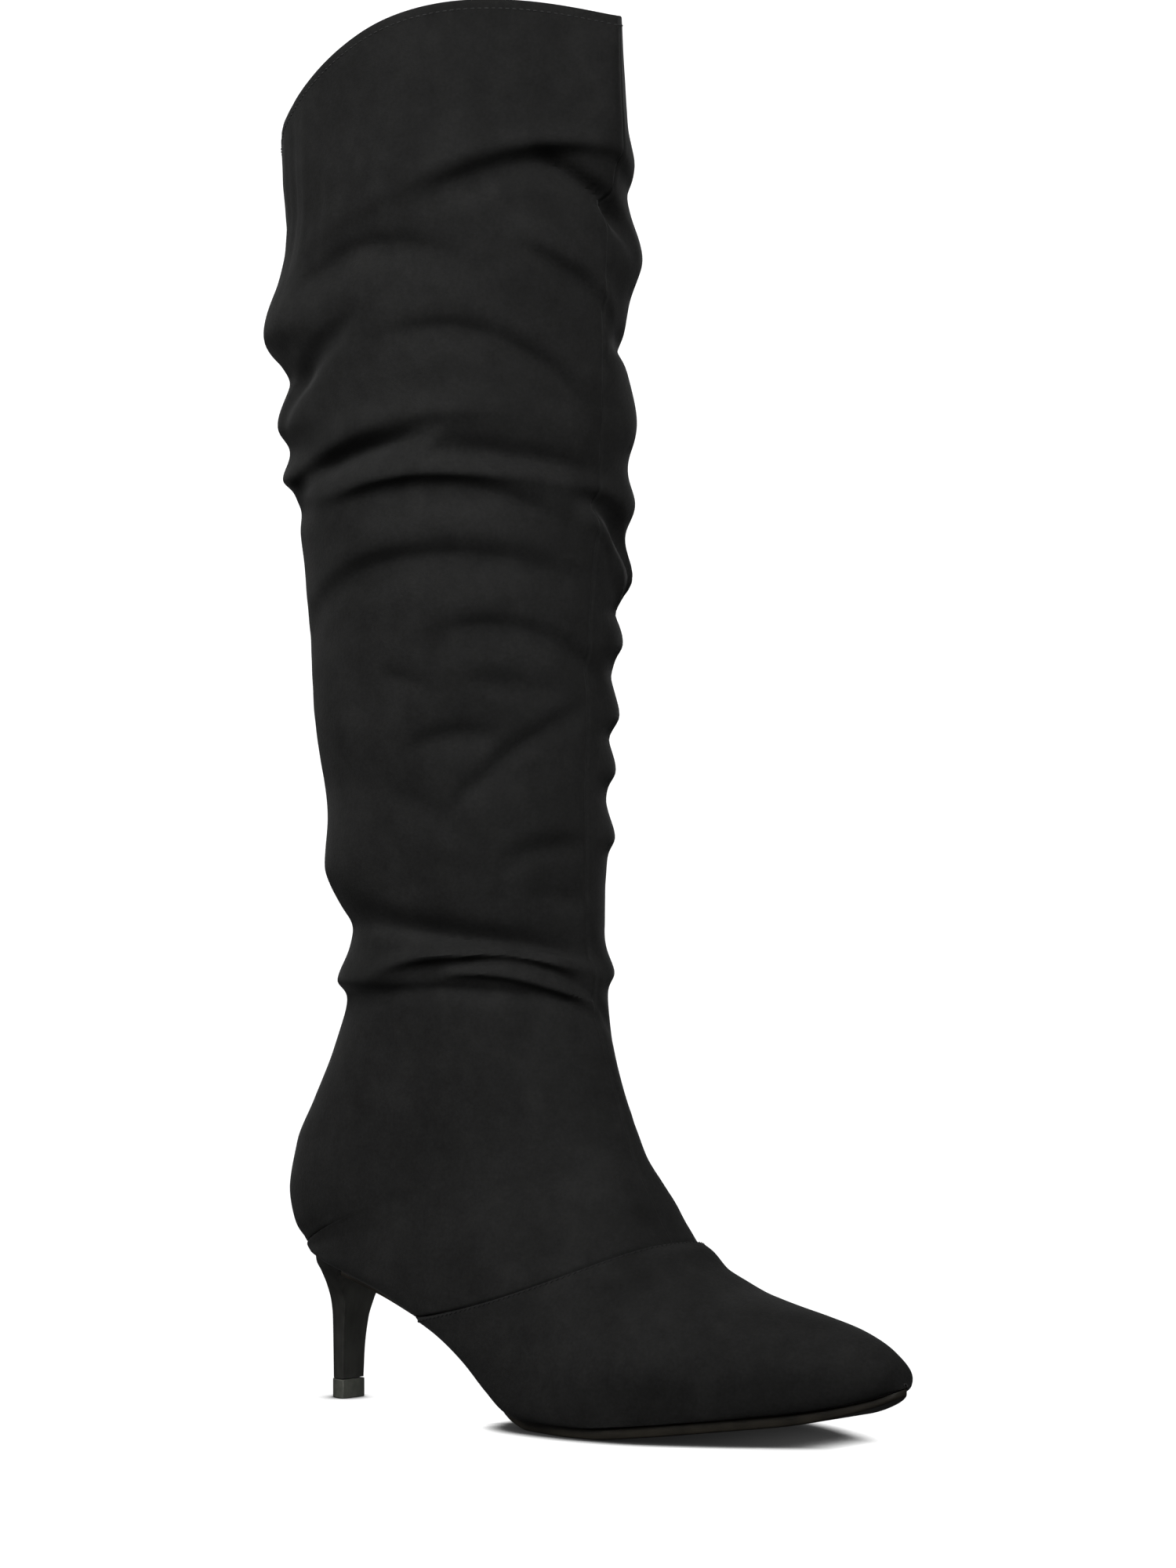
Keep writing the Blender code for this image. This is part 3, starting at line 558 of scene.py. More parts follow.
def grid_normals(grid):
    """Outward normals of a grid of points, and how much longer a step along each is for an even wall."""
    rows, columns = grid.shape[:2]
    keys = np.round(grid.reshape(-1, 3) / TOUCHING).astype(np.int64)
    _, name = np.unique(keys, axis=0, return_inverse=True)
    name = name.reshape(rows, columns)
    faces = np.cross(grid[1:, 1:] - grid[:-1, :-1], grid[1:, :-1] - grid[:-1, 1:]).reshape(-1, 3)
    size = np.linalg.norm(faces, axis=1)
    real = size > 0
    faces = faces[real] / size[real, None]
    corners = [part.reshape(-1)[real] for part in (
        name[:-1, :-1], name[:-1, 1:], name[1:, 1:], name[1:, :-1])]
    sums = np.zeros((name.max() + 1, 3))
    for corner in corners:
        np.add.at(sums, corner, faces)
    length = np.linalg.norm(sums, axis=1)
    unit = sums / np.where(length > 0, length, 1)[:, None]
    lean = np.zeros(len(sums))
    count = np.zeros(len(sums))
    for corner in corners:
        np.add.at(lean, corner, np.einsum("ij,ij->i", unit[corner], faces))
        np.add.at(count, corner, 1)
    lean = lean / np.where(count > 0, count, 1)
    stretch = np.where(count > 0, 1 / np.clip(lean, LEAST_LEAN, 1), 1)
    return unit[name], stretch[name]


def leg_places(grid):
    """Place round the leg, distance from the front seam and the back line, height, way from the front."""
    leg = grid[:, 1:-1]
    middle = leg.shape[1] // 2
    run = run_along(leg.swapaxes(0, 1)).T
    seam = run[:, middle:middle + 1]
    front = seam - seam_place(leg[:, middle, 2])[:, None]
    total = run[:, -1:]
    around = np.where(run <= front, (run - front) / front, (run - front) / (total - front))
    return around, np.abs(run - seam), np.minimum(run, total - run), leg[..., 2], run - front


def crease(around, height, row):
    """How far one crease pushes each point out, in millimetres."""
    start, end, first, middle, last, depth, above, below = row
    reach = ((around - (start + end) / 2 + 1) % 2 - 1) / ((end - start) / 2)
    path = middle + (last - first) / 2 * reach + ((first + last) / 2 - middle) * reach**2
    off = height / MM - path
    width = np.where(off > 0, above, below)
    fade = np.where(np.abs(reach) < 1, (1 - reach**4) ** 2, 0.0)
    return depth * fade * np.exp(-(off / width) ** 2)


def ease(value, low, high):
    """Go smoothly from 0 at low to 1 at high."""
    share = np.clip((value - low) / (high - low), 0.0, 1.0)
    return share * share * (3 - 2 * share)


def uneven(points, length, width, seed):
    """Smooth noise with one size round the leg and another up it."""
    spots = points / (np.array((length, length, width)) * MM) + seed
    return np.array([noise.noise(Vector(spot)) for spot in spots.reshape(-1, 3)]).reshape(points.shape[:-1])


def fold_push(grid):
    """How far creases, ripples and seams push each point of the leg out, in metres."""
    around, from_front, from_back, height, along = leg_places(grid)
    push = np.zeros_like(height)
    inner_side = ease(around, *MIRROR_FROM)
    for row in CREASES:
        push += crease(around, height, row) * (1 - inner_side)
        start, end, first, middle, last, depth, above, below = row
        mirrored = (MIRROR_TURN - end, MIRROR_TURN - start, last - MIRROR_DROP, middle - MIRROR_DROP,
                    first - MIRROR_DROP, depth * MIRROR_DEPTH, above, below)
        push += crease(around, height, mirrored) * inner_side
    low, full, high = RIPPLE_HEIGHTS
    window = ease(height / MM, low, full) * (1 - ease(height / MM, full, high))
    girth = np.ptp(along, axis=1, keepdims=True) / 2
    for place, depth, reach in RIPPLES:
        off = (around - place) * girth / (reach * MM)
        push += depth * window * np.exp(-off**2)
    slouch = ease(height / MM, *SLOUCH_START) * (1 - ease(height / MM, *SLOUCH_END))
    for number, (length, width, on_leg, on_foot) in enumerate(UNEVENNESS):
        rough = uneven(grid[:, 1:-1], length, width, NOISE_STEP * number)
        push += rough * (on_foot + (on_leg - on_foot) * slouch)
    swell = np.sin(height / (PUCKER_LENGTH * MM) * 2 * math.pi)
    ridge = SEAM_RIDGE * (PUCKER_MIDDLE + PUCKER_SWING * swell)
    back_share = BACK_SEAM_SHARE * ease(height / MM, *BACK_SEAM_START)
    for distance, share in ((from_front, 1.0), (from_back, back_share)):
        off = distance / MM
        push -= share * SEAM_DEPTH * np.exp(-(off / SEAM_WIDTH) ** 2)
        push += share * ridge * np.exp(-((off - SEAM_RIDGE_PLACE) / SEAM_RIDGE_REACH) ** 2)
    push *= MM
    return np.concatenate((push[:, :1], push, push[:, -1:]), axis=1)


def to_frame(points):
    """Move points from the back of the heel cup to the frame of the heel tip."""
    return points - np.array((TIP_X, 0.0, 0.0))


def add_object(name, data):
    """A new object in the scene."""
    thing = bpy.data.objects.new(name, data)
    bpy.context.scene.collection.objects.link(thing)
    return thing


def close_mesh(name, mesh):
    """Weld a bmesh and turn it into a smooth-shaded object."""
    bmesh.ops.remove_doubles(mesh, verts=mesh.verts, dist=WELD)
    bmesh.ops.dissolve_degenerate(mesh, edges=mesh.edges, dist=SHORTEST_EDGE)
    bmesh.ops.recalc_face_normals(mesh, faces=mesh.faces)
    data = bpy.data.meshes.new(name)
    mesh.to_mesh(data)
    mesh.free()
    data.shade_smooth()
    data.set_sharp_from_angle(angle=SHARP_ANGLE)
    return add_object(name, data)


def add_face(mesh, corners, slot=0):
    """Add a face, leaving out corners that fall on one another."""
    kept = []
    for corner in corners:
        if all((corner.co - other.co).length > TOUCHING for other in kept):
            kept.append(corner)
    if len(kept) > 2:
        face = mesh.faces.new(kept)
        face.material_index = slot


def add_walls(mesh, loops):
    """Faces from each closed loop of points to the next."""
    for one, other in zip(loops, loops[1:]):
        for corner in range(len(one)):
            after = (corner + 1) % len(one)
            add_face(mesh, (one[corner], one[after], other[after], other[corner]))


def rim_rows(outer, inner, before):
    """Rows that roll the cut edge of the wall over from its outer to its inner face."""
    up = outer - before
    up /= np.linalg.norm(up, axis=1)[:, None]
    middle = (outer + inner) / 2
    half = (outer - inner) / 2
    thick = np.linalg.norm(half, axis=1)[:, None]
    rows = []
    for step in range(1, RIM_STEPS + 1):
        turn = math.pi * step / (RIM_STEPS + 1)
        rows.append(middle + half * math.cos(turn) + up * thick * RIM_ROUNDNESS * math.sin(turn))
    return rows


def close_edge(mesh, fine, rough):
    """Close the wall between an edge of the fine skin and the same edge of the coarse lining."""
    for number, (one, other) in enumerate(zip(rough, rough[1:])):
        first, middle, last = fine[2 * number:2 * number + 3]
        add_face(mesh, (first, middle, one))
        add_face(mesh, (middle, last, other, one))


def add_shell(name, outer, inner):
    """A hollow wall: a fine outer skin and a lining with every second row and column."""
    mesh = bmesh.new()
    rows = to_frame(np.array(list(outer) + rim_rows(outer[-1], inner[-1], outer[-2])))
    skin = [[mesh.verts.new(point) for point in row] for row in rows]
    lining = [[mesh.verts.new(point) for point in row] for row in to_frame(inner[::2, ::2])]
    for grid, lined_from in ((skin, len(skin) - 1 - RIM_STEPS), (lining, 0)):
        for number, (one, other) in enumerate(zip(grid, grid[1:])):
            slot = 1 if number >= lined_from else 0
            for column in range(len(one) - 1):
                add_face(mesh, (one[column], one[column + 1], other[column + 1], other[column]), slot)
    for edge in (0, -1):
        if np.ptp(rows[edge, :, 1]) > TOUCHING:
            close_edge(mesh, skin[edge], lining[edge])
    for edge in (0, -1):
        close_edge(mesh, [row[edge] for row in skin], [row[edge] for row in lining])
    return close_mesh(name, mesh)


def surface_path(grid, normals, drop):
    """Points and normals a fixed distance before the last row."""
    back = grid[::-1]
    run = run_along(back)
    points = []
    leans = []
    for column in range(grid.shape[1]):
        row = int(np.searchsorted(run[:, column], drop))
        share = (drop - run[row - 1, column]) / (run[row, column] - run[row - 1, column])
        points.append(back[row - 1, column] * (1 - share) + back[row, column] * share)
        leans.append(normals[::-1][row, column])
    return np.array(points), np.array(leans)


def add_stitches(name, path, normals, spacing, slant):
    """A run of stitches along a path, each a small bead of thread."""
    run = run_along(path)
    mesh = bmesh.new()
    half = STITCH_LENGTH / 2 * MM
    radius = STITCH_RADIUS * MM
    for number in range(int(run[-1] / (spacing * MM))):
        middle = (number + 0.5) * spacing * MM
        spots = [middle - half, middle, middle + half]
        line = np.stack([np.interp(spots, run, path[:, axis]) for axis in range(3)], axis=1)
        up = np.array([np.interp(middle, run, normals[:, axis]) for axis in range(3)])
        up /= np.linalg.norm(up)
        ahead = line[2] - line[0]
        ahead /= np.linalg.norm(ahead)
        side = np.cross(up, ahead)
        way = ahead * math.cos(slant) + side * math.sin(slant)
        rings = []
        for part, size, lift in STITCH_RINGS:
            centre = line[1] + way * part * half + up * lift * radius
            ring = []
            for corner in range(STITCH_CORNERS):
                turn = corner * 2 * math.pi / STITCH_CORNERS
                offset = (side * math.cos(turn) + up * math.sin(turn)) * size * radius
                ring.append(mesh.verts.new(to_frame(centre + offset)))
            rings.append(ring)
        add_walls(mesh, rings)
        add_face(mesh, rings[0])
        add_face(mesh, rings[-1])
    return close_mesh(name, mesh)


def add_loft(name, rings):
    """A solid through closed rings of points, its two ends filled."""
    mesh = bmesh.new()
    loops = [[mesh.verts.new(point) for point in to_frame(np.array(ring))] for ring in rings]
    add_walls(mesh, loops)
    for loop in (loops[0], loops[-1]):
        add_face(mesh, loop)
    return close_mesh(name, mesh)


def bevel(piece, width, angle):
    """Round the sharp edges of a piece, for the light line along them."""
    rounding = piece.modifiers.new("edge", "BEVEL")
    rounding.width = width
    rounding.segments = 2
    rounding.limit_method = "ANGLE"
    rounding.angle_limit = math.radians(angle)


def row_numbers():
    """Places of the rows among the sections: the vamp's, and the whole upper's."""
    seam = VAMP_SEAM_ROW
    last = len(FOOT) - 1
    near = np.array(SEAM_STEPS)
    vamp = np.concatenate((np.arange(0, seam, VAMP_STEP), (seam - near)[::-1], [seam]))
    foot = np.concatenate((seam + near, np.arange(seam + FOOT_STEP, last + FOOT_STEP / 2, FOOT_STEP)))
    leg = [last + interval + np.arange(1, count + 1) / count for interval, count in enumerate(LEG_COUNTS)]
    return vamp, np.concatenate((vamp, foot, *leg))


def upper_skins(numbers, cut):
    """The upper's outer skin, its lining, and how far the vamp is raised where it laps the shaft."""
    base = np.array([section_points(number) for number in numbers])
    normals, stretch = grid_normals(base)
    inner = base - normals * (WALL * stretch)[..., None]
    length, width, _, on_foot = UNEVENNESS[0]
    slow = uneven(base, length, width, 0.0) * on_foot * MM
    push = fold_push(base)
    push[:cut + 1] = slow[:cut + 1]
    from_seam = np.linalg.norm(base - base[cut], axis=2) / MM
    push -= LAP_DIP * MM * np.exp(-(from_seam / LAP_DIP_WIDTH) ** 2)
    # The inner edges of the lasting margin stay in place
    on_sole = numbers <= LAST_SOLE_ROW
    push[on_sole, 0] = 0.0
    push[on_sole, -1] = 0.0
    shift = normals * push[..., None]
    above_seat = base[..., 2] > float(feather_height(SEAT_BACK)[0])
    shift[..., 2] -= FOLD_SAG * np.clip(push, 0, None) * above_seat
    lap = np.zeros(base.shape[:2])
    lap[:cut + 1, 2:-2] = VAMP_LAP * (numbers[:cut + 1] / VAMP_SEAM_ROW)[:, None] ** 2
    return base + shift, inner + shift, normals * lap[..., None]


def add_upper():
    """The vamp and the shaft with their stitches, and the rows of the lining for the sock."""
    vamp_numbers, numbers = row_numbers()
    cut = len(vamp_numbers) - 1
    outer, lining, raised = upper_skins(numbers, cut)
    ends = outer[cut, [2, outer.shape[1] // 2, -3]]
    across = np.cross(ends[1] - ends[0], ends[2] - ends[0])
    across *= np.sign(across[0]) * 0.5 * CLEARANCE / np.linalg.norm(across)
    vamp_outer = (outer + raised)[:cut + 1]
    vamp_inner = lining[:cut + 1].copy()
    shaft_outer = outer[cut:].copy()
    shaft_inner = lining[cut:].copy()
    vamp_outer[-1] += across
    vamp_inner[-1] += across
    shaft_outer[0] -= across
    shaft_inner[0] -= across
    vamp = add_shell("vamp_suede", vamp_outer, vamp_inner)
    shaft = add_shell("shaft_suede", shaft_outer, shaft_inner)
    vamp_normals, _ = grid_normals(vamp_outer)
    shaft_normals, _ = grid_normals(shaft_outer)
    vamp_path = surface_path(vamp_outer[:, 2:-2], vamp_normals[:, 2:-2], VAMP_STITCH_DROP * MM)
    collar_path = surface_path(shaft_outer[:, 1:-1], shaft_normals[:, 1:-1], COLLAR_STITCH_DROP * MM)
    vamp_thread = add_stitches("vamp_stitches", *vamp_path, VAMP_STITCH_SPACING, VAMP_STITCH_SLANT)
    collar_thread = add_stitches("collar_stitches", *collar_path, COLLAR_STITCH_SPACING, 0.0)
    return vamp, shaft, vamp_thread, collar_thread, numbers, lining


def add_sole():
    """The thin sole, its lower and upper edges rounded."""
    start = HEEL_BREAST + CLEARANCE / LENGTH
    share = np.linspace(0.0, 1.0, SOLE_RINGS)
    places = start + (1.0 - start) * np.sin(share * math.pi / 2)
    rings = []
    for place in places:
        top = float(feather_height(place)[0]) - CLEARANCE
        depth = SOLE_THICKNESS * float(smooth_rows(SOLE_DEPTH, seat_share(place))[0, 0])
        low = float(feather_height(place)[0]) - depth
        x = place * LENGTH
        y = float(toe_drift(place))
        outer, inner = (max(0.0, half - SOLE_INSET) for half in feather_halves(place)[0])
        sides = []
        for side, half in ((-1, outer), (1, inner)):
            round_low = min(SOLE_CHAMFER, half)
            round_top = min(SOLE_TOP_ROUND, half)
            profile = [
                (half - round_top, top),
                (half - round_top * 0.3, top - round_top * 0.3),
                (half, top - round_top),
            ]
            for step in range(SOLE_CORNER_STEPS):
                turn = step * math.pi / 2 / (SOLE_CORNER_STEPS - 1)
                profile.append((
                    half - round_low * (1 - math.cos(turn)),
                    low + round_low * (1 - math.sin(turn)),
                ))
            profile += [(half * 0.66, low), (half * 0.33, low)]
            sides.append([(x, y + side * out, z) for out, z in profile])
        rings.append(sides[0] + sides[1][::-1])
    return add_loft("sole_rubber", rings)


def add_sock(numbers, lining):
    """The sock on its board, with rounded edges."""
    rings = []
    for row, number in zip(lining, numbers):
        left = row[1][1] + INSOLE_EASE
        right = row[-2][1] - INSOLE_EASE
        if number > LAST_INSOLE_ROW or right - left < INSOLE_LEAST_WIDTH:
            continue
        x, _, low = 0.5 * (row[0] + row[-1])
        low += CLEARANCE
        high = low + INSOLE_THICKNESS
        soft = SOCK_ROUND * INSOLE_THICKNESS
        top = [(x, left + (right - left) * share, high) for share in np.linspace(*SOCK_TOP, SOCK_POINTS)]
        rings.append([
            (x, left, low), (x, left, high - soft), (x, left + soft, high),
            *top,
            (x, right - soft, high), (x, right, high - soft), (x, right, low),
        ])
    return add_loft("sock", rings)


def heel_ring(level):
    """One ring of the heel: round at the back, a little hollow at the breast."""
    back_gone, breast_gone, half_gone = smooth_rows(HEEL_RINGS, level)[0]
    turn = np.linspace(0.0, math.pi / 2, HEEL_POINTS)
    places = SEAT_BACK + (HEEL_BREAST - SEAT_BACK) * (1 - np.cos(turn))
    half_seat = feather_halves(HEEL_BREAST)[0].min() - HEEL_INSET
    tip_back = TIP_X - TIP_DEPTH / 2
    tip_breast = TIP_X + TIP_DEPTH / 2
    back = tip_back + (SEAT_BACK * LENGTH + HEEL_INSET - tip_back) * back_gone
    breast = tip_breast + (HEEL_BREAST * LENGTH - tip_breast) * breast_gone
    half = TIP_WIDTH / 2 + (half_seat - TIP_WIDTH / 2) * half_gone
    x = back + (breast - back) * (1 - np.cos(turn))
    round_y = half * np.sin(turn)
    seat_y = np.maximum(feather_halves(places).min(axis=1) - HEEL_INSET, 0.0)
    seat_y[0] = 0.0
    y = round_y * (1 - half_gone) + half * seat_y / seat_y[-1] * half_gone
    across = np.linspace(1.0, 0.0, BREAST_POINTS)[1:]
    hollow = BREAST_HOLLOW * math.sin(math.pi * level) ** BREAST_HOLLOW_FULLNESS
    breast_x = breast - hollow * (1 - across**2) * min(1.0, half / (0.5 * half_seat))
    x = np.concatenate((x, breast_x))
    y = np.concatenate((y, half * across))
    base = LIFT_HEIGHT + CLEARANCE
    seat = feather_height(x / LENGTH) - CLEARANCE
    z = base + level * (seat - base)
    outer = np.stack((x, -y, z), axis=1)
    inner = np.stack((x, y, z), axis=1)[1:-1][::-1]
    return np.vstack((outer, inner))


def add_heel():
    """The slim covered heel under the seat."""
    mesh = bmesh.new()
    rings = [heel_ring(level) for level in np.linspace(0.0, 1.0, HEEL_RINGS_DRAWN)]
    loops = [[mesh.verts.new(point) for point in to_frame(ring)] for ring in rings]
    count = len(loops[0])
    add_walls(mesh, loops)
    for loop in (loops[0], loops[-1]):
        for corner in range(count // 2):
            add_face(mesh, (loop[corner], loop[corner + 1],
                            loop[(count - 1 - corner) % count], loop[(count - corner) % count]))
    piece = close_mesh("heel_cover", mesh)
    bevel(piece, HEEL_BEVEL, HEEL_BEVEL_ANGLE)
    return piece


def add_tip():
    """The hard rubber tip under the heel."""
    turn = np.linspace(0.0, math.pi / 2, HEEL_POINTS)
    x = TIP_X - TIP_DEPTH / 2 - TIP_EDGE + (TIP_DEPTH + 2 * TIP_EDGE) * (1 - np.cos(turn))
    y = (TIP_WIDTH / 2 + TIP_EDGE) * np.sin(turn)
    rings = []
    for z in (0.0, LIFT_HEIGHT):
        flat = np.full_like(x, z)
        outer = np.stack((x, -y, flat), axis=1)[::-1]
        inner = np.stack((x, y, flat), axis=1)[1:]
        rings.append(np.vstack((outer, inner)))
    piece = add_loft("heel_tip", rings)
    bevel(piece, TIP_BEVEL, TIP_BEVEL_ANGLE)
    return piece


def new_material(name, roughness, specular=0.5, sheen=0.0, sheen_roughness=0.5):
    """A Principled material with its plain settings on its own sockets."""
    material = bpy.data.materials.new(name)
    material.use_nodes = True
    shader = material.node_tree.nodes["Principled BSDF"]
    shader.inputs["Roughness"].default_value = roughness
    shader.inputs["Specular IOR Level"].default_value = specular
    shader.inputs["Sheen Weight"].default_value = sheen
    shader.inputs["Sheen Roughness"].default_value = sheen_roughness
    return material


def add_noise(tree, scale, detail, roughness=0.5, stretch=(1, 1, 1)):
    """Noise in the model's own metres; scale is in spots for each metre."""
    place = tree.nodes.new("ShaderNodeTexCoord")
    spread = tree.nodes.new("ShaderNodeMapping")
    spread.inputs["Scale"].default_value = stretch
    texture = tree.nodes.new("ShaderNodeTexNoise")
    texture.inputs["Scale"].default_value = scale
    texture.inputs["Detail"].default_value = detail
    texture.inputs["Roughness"].default_value = roughness
    tree.links.new(place.outputs["Object"], spread.inputs["Vector"])
    tree.links.new(spread.outputs["Vector"], texture.inputs["Vector"])
    return texture.outputs["Fac"]


def add_ramp(tree, value, stops):
    """Colours read from a value; each stop is a place and a colour."""
    ramp = tree.nodes.new("ShaderNodeValToRGB")
    band = ramp.color_ramp
    while len(band.elements) < len(stops):
        band.elements.new(0.5)
    for element, (place, color) in zip(band.elements, stops):
        element.position = place
        element.color = (*color, 1.0)
    tree.links.new(value, ramp.inputs["Fac"])
    return ramp.outputs["Color"]


def mix_values(tree, parts):
    """A weighted sum of values."""
    total = None
    for value, weight in parts:
        step = tree.nodes.new("ShaderNodeMath")
        step.operation = "MULTIPLY_ADD"
        step.inputs[1].default_value = weight
        step.inputs[2].default_value = 0.0
        tree.links.new(value, step.inputs[0])
        if total:
            tree.links.new(total, step.inputs[2])
        total = step.outputs[0]
    return total


def add_bump(material, value, distance, strength):
    """Raise a material's surface by a value; distance is in metres."""
    tree = material.node_tree
    bump = tree.nodes.new("ShaderNodeBump")
    bump.inputs["Distance"].default_value = distance
    bump.inputs["Strength"].default_value = strength
    tree.links.new(value, bump.inputs["Height"])
    tree.links.new(bump.outputs["Normal"], tree.nodes["Principled BSDF"].inputs["Normal"])


def paint(material, value, tones, reach=0.15):
    """Colour a material by a value, its tones spread evenly over a reach on both sides of the middle."""
    tree = material.node_tree
    stops = list(zip(np.linspace(0.5 - reach, 0.5 + reach, len(tones)), tones))
    tree.links.new(add_ramp(tree, value, stops), tree.nodes["Principled BSDF"].inputs["Base Color"])


def suede_material():
    """Black napped suede: brushed patches, a fine fibre and a soft light edge."""
    material = new_material("suede", 0.95, specular=0.05, sheen=SUEDE_SHEEN, sheen_roughness=0.35)
    tree = material.node_tree
    brushed = add_noise(tree, scale=38, detail=3, roughness=0.55, stretch=(1, 1, 0.7))
    patches = add_noise(tree, scale=130, detail=3, roughness=0.6)
    grain = add_noise(tree, scale=900, detail=2, roughness=0.6)
    fibre = add_noise(tree, scale=2600, detail=2)
    nap = mix_values(tree, ((brushed, 0.42), (patches, 0.28), (grain, 0.30)))
    tones = ((0.0102, 0.0103, 0.0100), (0.0142, 0.0143, 0.0140), (0.0190, 0.0190, 0.0186))
    paint(material, nap, tones, reach=0.14)
    add_bump(material, mix_values(tree, ((grain, 0.6), (fibre, 0.4))), distance=0.00035, strength=0.5)
    return material


def lining_material():
    """Black lining cloth, a fine knit."""
    material = new_material("lining", 0.9, specular=0.1)
    tree = material.node_tree
    knit = add_noise(tree, scale=1100, detail=1, stretch=(1, 1, 0.4))
    cloud = add_noise(tree, scale=60, detail=2)
    tones = ((0.006, 0.006, 0.006), (0.012, 0.012, 0.012))
    paint(material, mix_values(tree, ((knit, 0.5), (cloud, 0.5))), tones)
    add_bump(material, knit, distance=0.0003, strength=0.4)
    return material


def sole_material():
    """Black rubber with a slightly brown gloss and a fine matt grain."""
    material = new_material("sole", 0.42, specular=0.3)
    tree = material.node_tree
    cloud = add_noise(tree, scale=90, detail=3)
    grain = add_noise(tree, scale=1500, detail=2)
    paint(material, cloud, ((0.014, 0.0125, 0.0095), (0.026, 0.0225, 0.0170)))
    add_bump(material, grain, distance=0.00012, strength=0.35)
    return material


def heel_material():
    """Smooth black heel cover, satin, with a few faint upright scuffs."""
    material = new_material("heel_cover", 0.45, specular=0.2)
    tree = material.node_tree
    scuffs = add_noise(tree, scale=500, detail=3, roughness=0.6, stretch=(1, 1, 0.16))
    cloud = add_noise(tree, scale=160, detail=3)
    tones = ((0.018, 0.018, 0.0165), (0.029, 0.029, 0.0265))
    paint(material, mix_values(tree, ((scuffs, 0.5), (cloud, 0.5))), tones, reach=0.12)
    add_bump(material, scuffs, distance=0.0001, strength=0.35)
    return material


def tip_material():
    """Hard grey-black rubber."""
    material = new_material("heel_tip", 0.5, specular=0.3)
    tree = material.node_tree
    cloud = add_noise(tree, scale=400, detail=3)
    grain = add_noise(tree, scale=2200, detail=2)
    paint(material, cloud, ((0.048, 0.050, 0.043), (0.070, 0.072, 0.061)))
    add_bump(material, grain, distance=0.0001, strength=0.3)
    return material


def sock_material():
    """Black sock cloth on the board."""
    material = new_material("sock", 0.8, sheen=0.15)
    tree = material.node_tree
    weave = add_noise(tree, scale=1400, detail=2)
    cloud = add_noise(tree, scale=45, detail=3)
    tones = ((0.014, 0.014, 0.014), (0.026, 0.026, 0.025))
    paint(material, mix_values(tree, ((weave, 0.5), (cloud, 0.5))), tones)
    add_bump(material, weave, distance=0.0002, strength=0.4)
    return material


def thread_material(name, dark, light, specular):
    """Twisted thread between two greys."""
    material = new_material(name, 0.7, specular=specular)
    twist = add_noise(material.node_tree, scale=3000, detail=1)
    paint(material, twist, ((dark, dark, dark), (light, light, light)))
    add_bump(material, twist, distance=0.0001, strength=0.4)
    return material


def studio_piece(name, mesh, glow):
    """A self-lit white piece of the studio that throws no light on the boot."""
    data = bpy.data.meshes.new(name)
    mesh.to_mesh(data)
    mesh.free()
    material = new_material(name, 1.0, specular=0.0)
    shader = material.node_tree.nodes["Principled BSDF"]
    shader.inputs["Base Color"].default_value = (0.0, 0.0, 0.0, 1.0)
    shader.inputs["Emission Color"].default_value = (1.0, 1.0, 1.0, 1.0)
    shader.inputs["Emission Strength"].default_value = glow
    data.materials.append(material)
    piece = add_object(name, data)
    piece.visible_diffuse = False
    piece.visible_glossy = False
    piece.visible_shadow = False
    return piece


def add_stage():
    """A white floor with a shadow painted into its glow close under the boot, and a plain white dome behind
    it.
    """
    mesh = bmesh.new()
    bmesh.ops.create_circle(mesh, cap_ends=True, segments=FLOOR_SEGMENTS, radius=FLOOR_RADIUS)
    floor = studio_piece("floor", mesh, FLOOR_GLOW)
    tree = floor.data.materials[0].node_tree
    # Painted shadow: ambient occlusion darkens the floor's glow where the boot comes close above it
    painted_shadow_occlusion = tree.nodes.new("ShaderNodeAmbientOcclusion")
    painted_shadow_occlusion.inputs["Distance"].default_value = CONTACT_REACH
    painted_shadow = add_ramp(tree, painted_shadow_occlusion.outputs["AO"], (
        (0.0, (0.01, 0.01, 0.01)),
        (0.50, (0.05, 0.05, 0.05)),
        (0.93, (1.0, 1.0, 1.0)),
    ))
    tree.links.new(painted_shadow, tree.nodes["Principled BSDF"].inputs["Emission Color"])
    mesh = bmesh.new()
    bmesh.ops.create_icosphere(mesh, subdivisions=DOME_DIVISIONS, radius=DOME_RADIUS)
    dome = studio_piece("dome", mesh, DOME_GLOW)


def add_light(name, place, target, width, height, spread, power):
    """A soft lamp that looks at a point."""
    data = bpy.data.lights.new(name, "AREA")
    data.shape = "RECTANGLE"
    data.size = width
    data.size_y = height
    data.spread = math.radians(spread)
    data.energy = power
    lamp = add_object(name, data)
    lamp.location = place
    lamp.rotation_euler = (Vector(target) - Vector(place)).to_track_quat("-Z", "Y").to_euler()


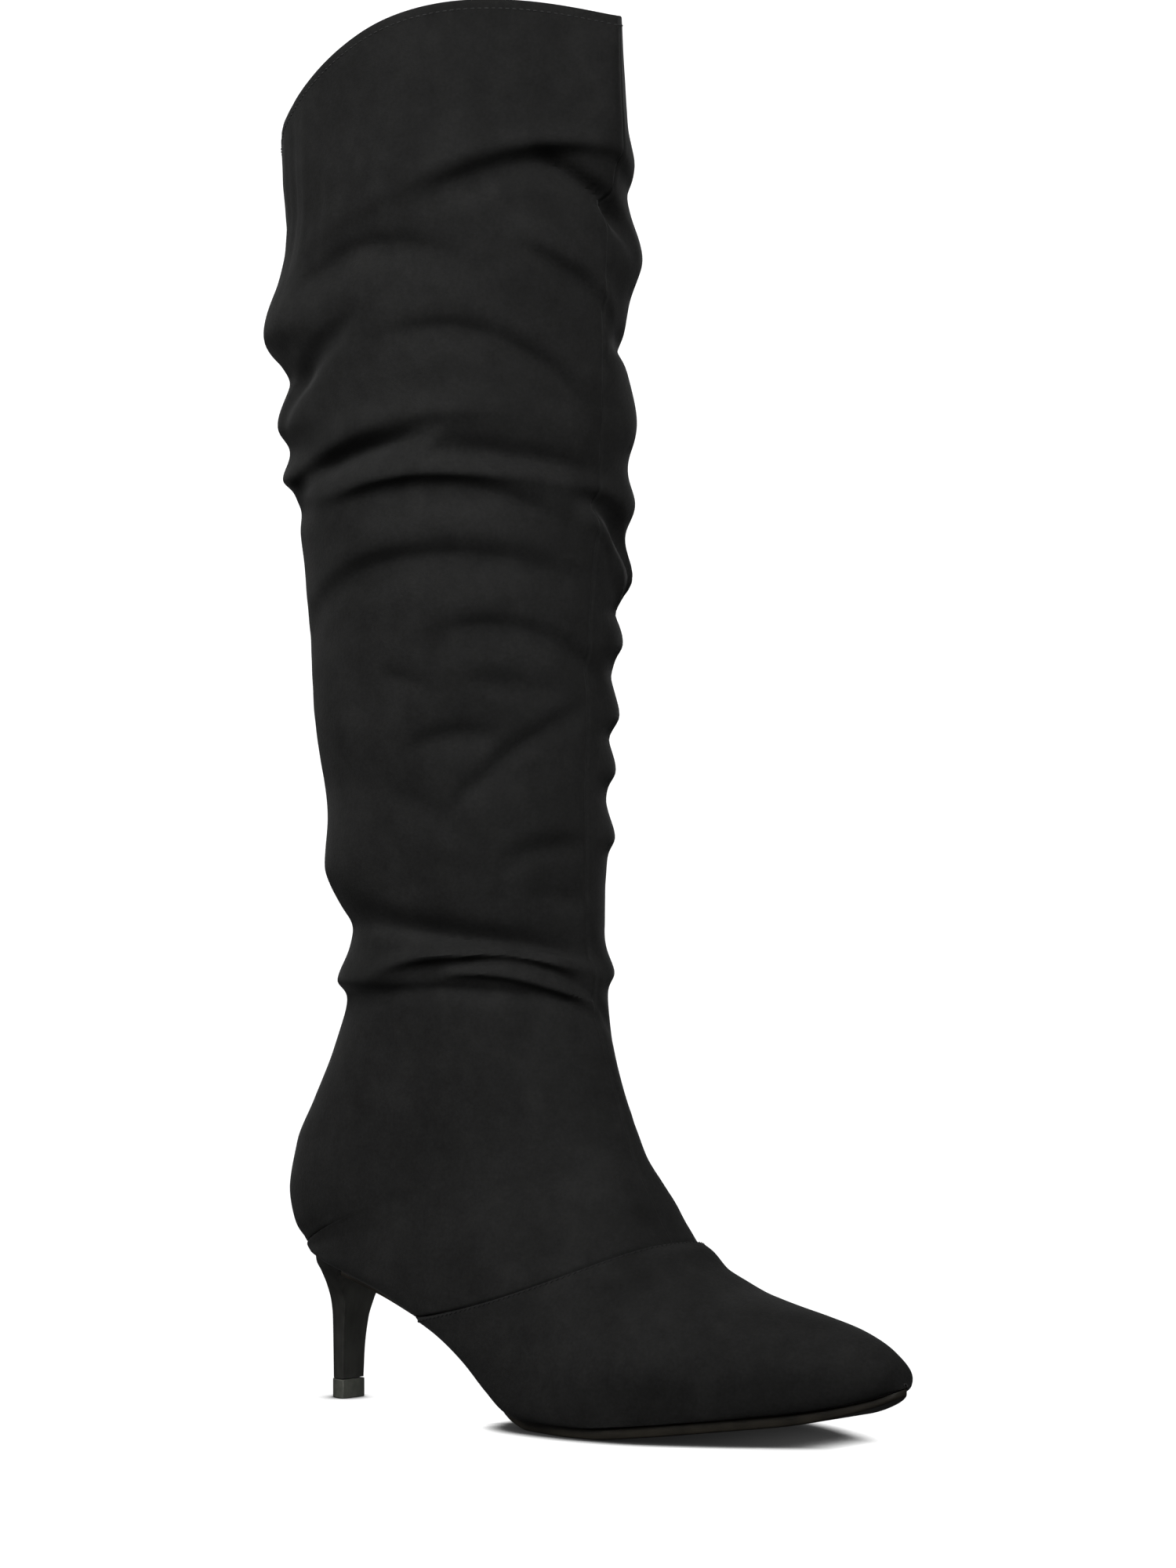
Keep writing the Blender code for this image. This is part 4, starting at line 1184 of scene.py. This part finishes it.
def add_sky():
    """Plain light from all round, strong from above and weak from below."""
    world = bpy.data.worlds.new("studio")
    world.use_nodes = True
    tree = world.node_tree
    place = tree.nodes.new("ShaderNodeTexCoord")
    height = tree.nodes.new("ShaderNodeSeparateXYZ")
    strength = tree.nodes.new("ShaderNodeMapRange")
    strength.inputs["From Min"].default_value = SKY_LOW
    strength.inputs["From Max"].default_value = SKY_HIGH
    strength.inputs["To Min"].default_value = SKY_BELOW
    strength.inputs["To Max"].default_value = SKY_ABOVE
    background = tree.nodes["Background"]
    background.inputs["Color"].default_value = (1.0, 1.0, 1.0, 1.0)
    tree.links.new(place.outputs["Generated"], height.inputs["Vector"])
    tree.links.new(height.outputs["Z"], strength.inputs["Value"])
    tree.links.new(strength.outputs["Result"], background.inputs["Strength"])
    bpy.context.scene.world = world


def add_camera():
    """The photograph's view: level, 39 degrees round from the outer side."""
    data = bpy.data.cameras.new("camera")
    data.sensor_width = CAMERA_SENSOR
    data.lens = CAMERA_LENS
    camera = add_object("camera", data)
    camera.location = (CAMERA_PLACE[0] - TIP_X, CAMERA_PLACE[1], CAMERA_PLACE[2])
    camera.rotation_euler = (math.pi / 2, 0.0, math.radians(CAMERA_TURN))
    bpy.context.scene.camera = camera


def main():
    suede = suede_material()
    lining_cloth = lining_material()
    dark_thread = thread_material("vamp_thread", 0.007, 0.013, 0.1)
    light_thread = thread_material("collar_thread", 0.012, 0.023, 0.4)
    vamp, shaft, vamp_thread, collar_thread, numbers, lining = add_upper()
    sole = add_sole()
    sock = add_sock(numbers, lining)
    heel = add_heel()
    tip = add_tip()
    dressed = (
        (vamp, (suede, lining_cloth), "suede"),
        (shaft, (suede, lining_cloth), "suede"),
        (vamp_thread, (dark_thread,), "suede"),
        (collar_thread, (light_thread,), "suede"),
        (sole, (sole_material(),), "sole_rubber"),
        (sock, (sock_material(),), "sock"),
        (heel, (heel_material(),), "heel_cover"),
        (tip, (tip_material(),), "tip_rubber"),
    )
    for piece, materials, slot in dressed:
        for material in materials:
            piece.data.materials.append(material)
        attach(piece, "root")
    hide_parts("vamp")
    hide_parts("shaft")
    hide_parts("outsole")
    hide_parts("insole")
    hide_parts("heel")
    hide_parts("top_lift")
    add_stage()
    add_sky()
    for lamp in LAMPS:
        add_light(*lamp)
    add_camera()
    bpy.context.scene.view_settings.view_transform = "Standard"


main()
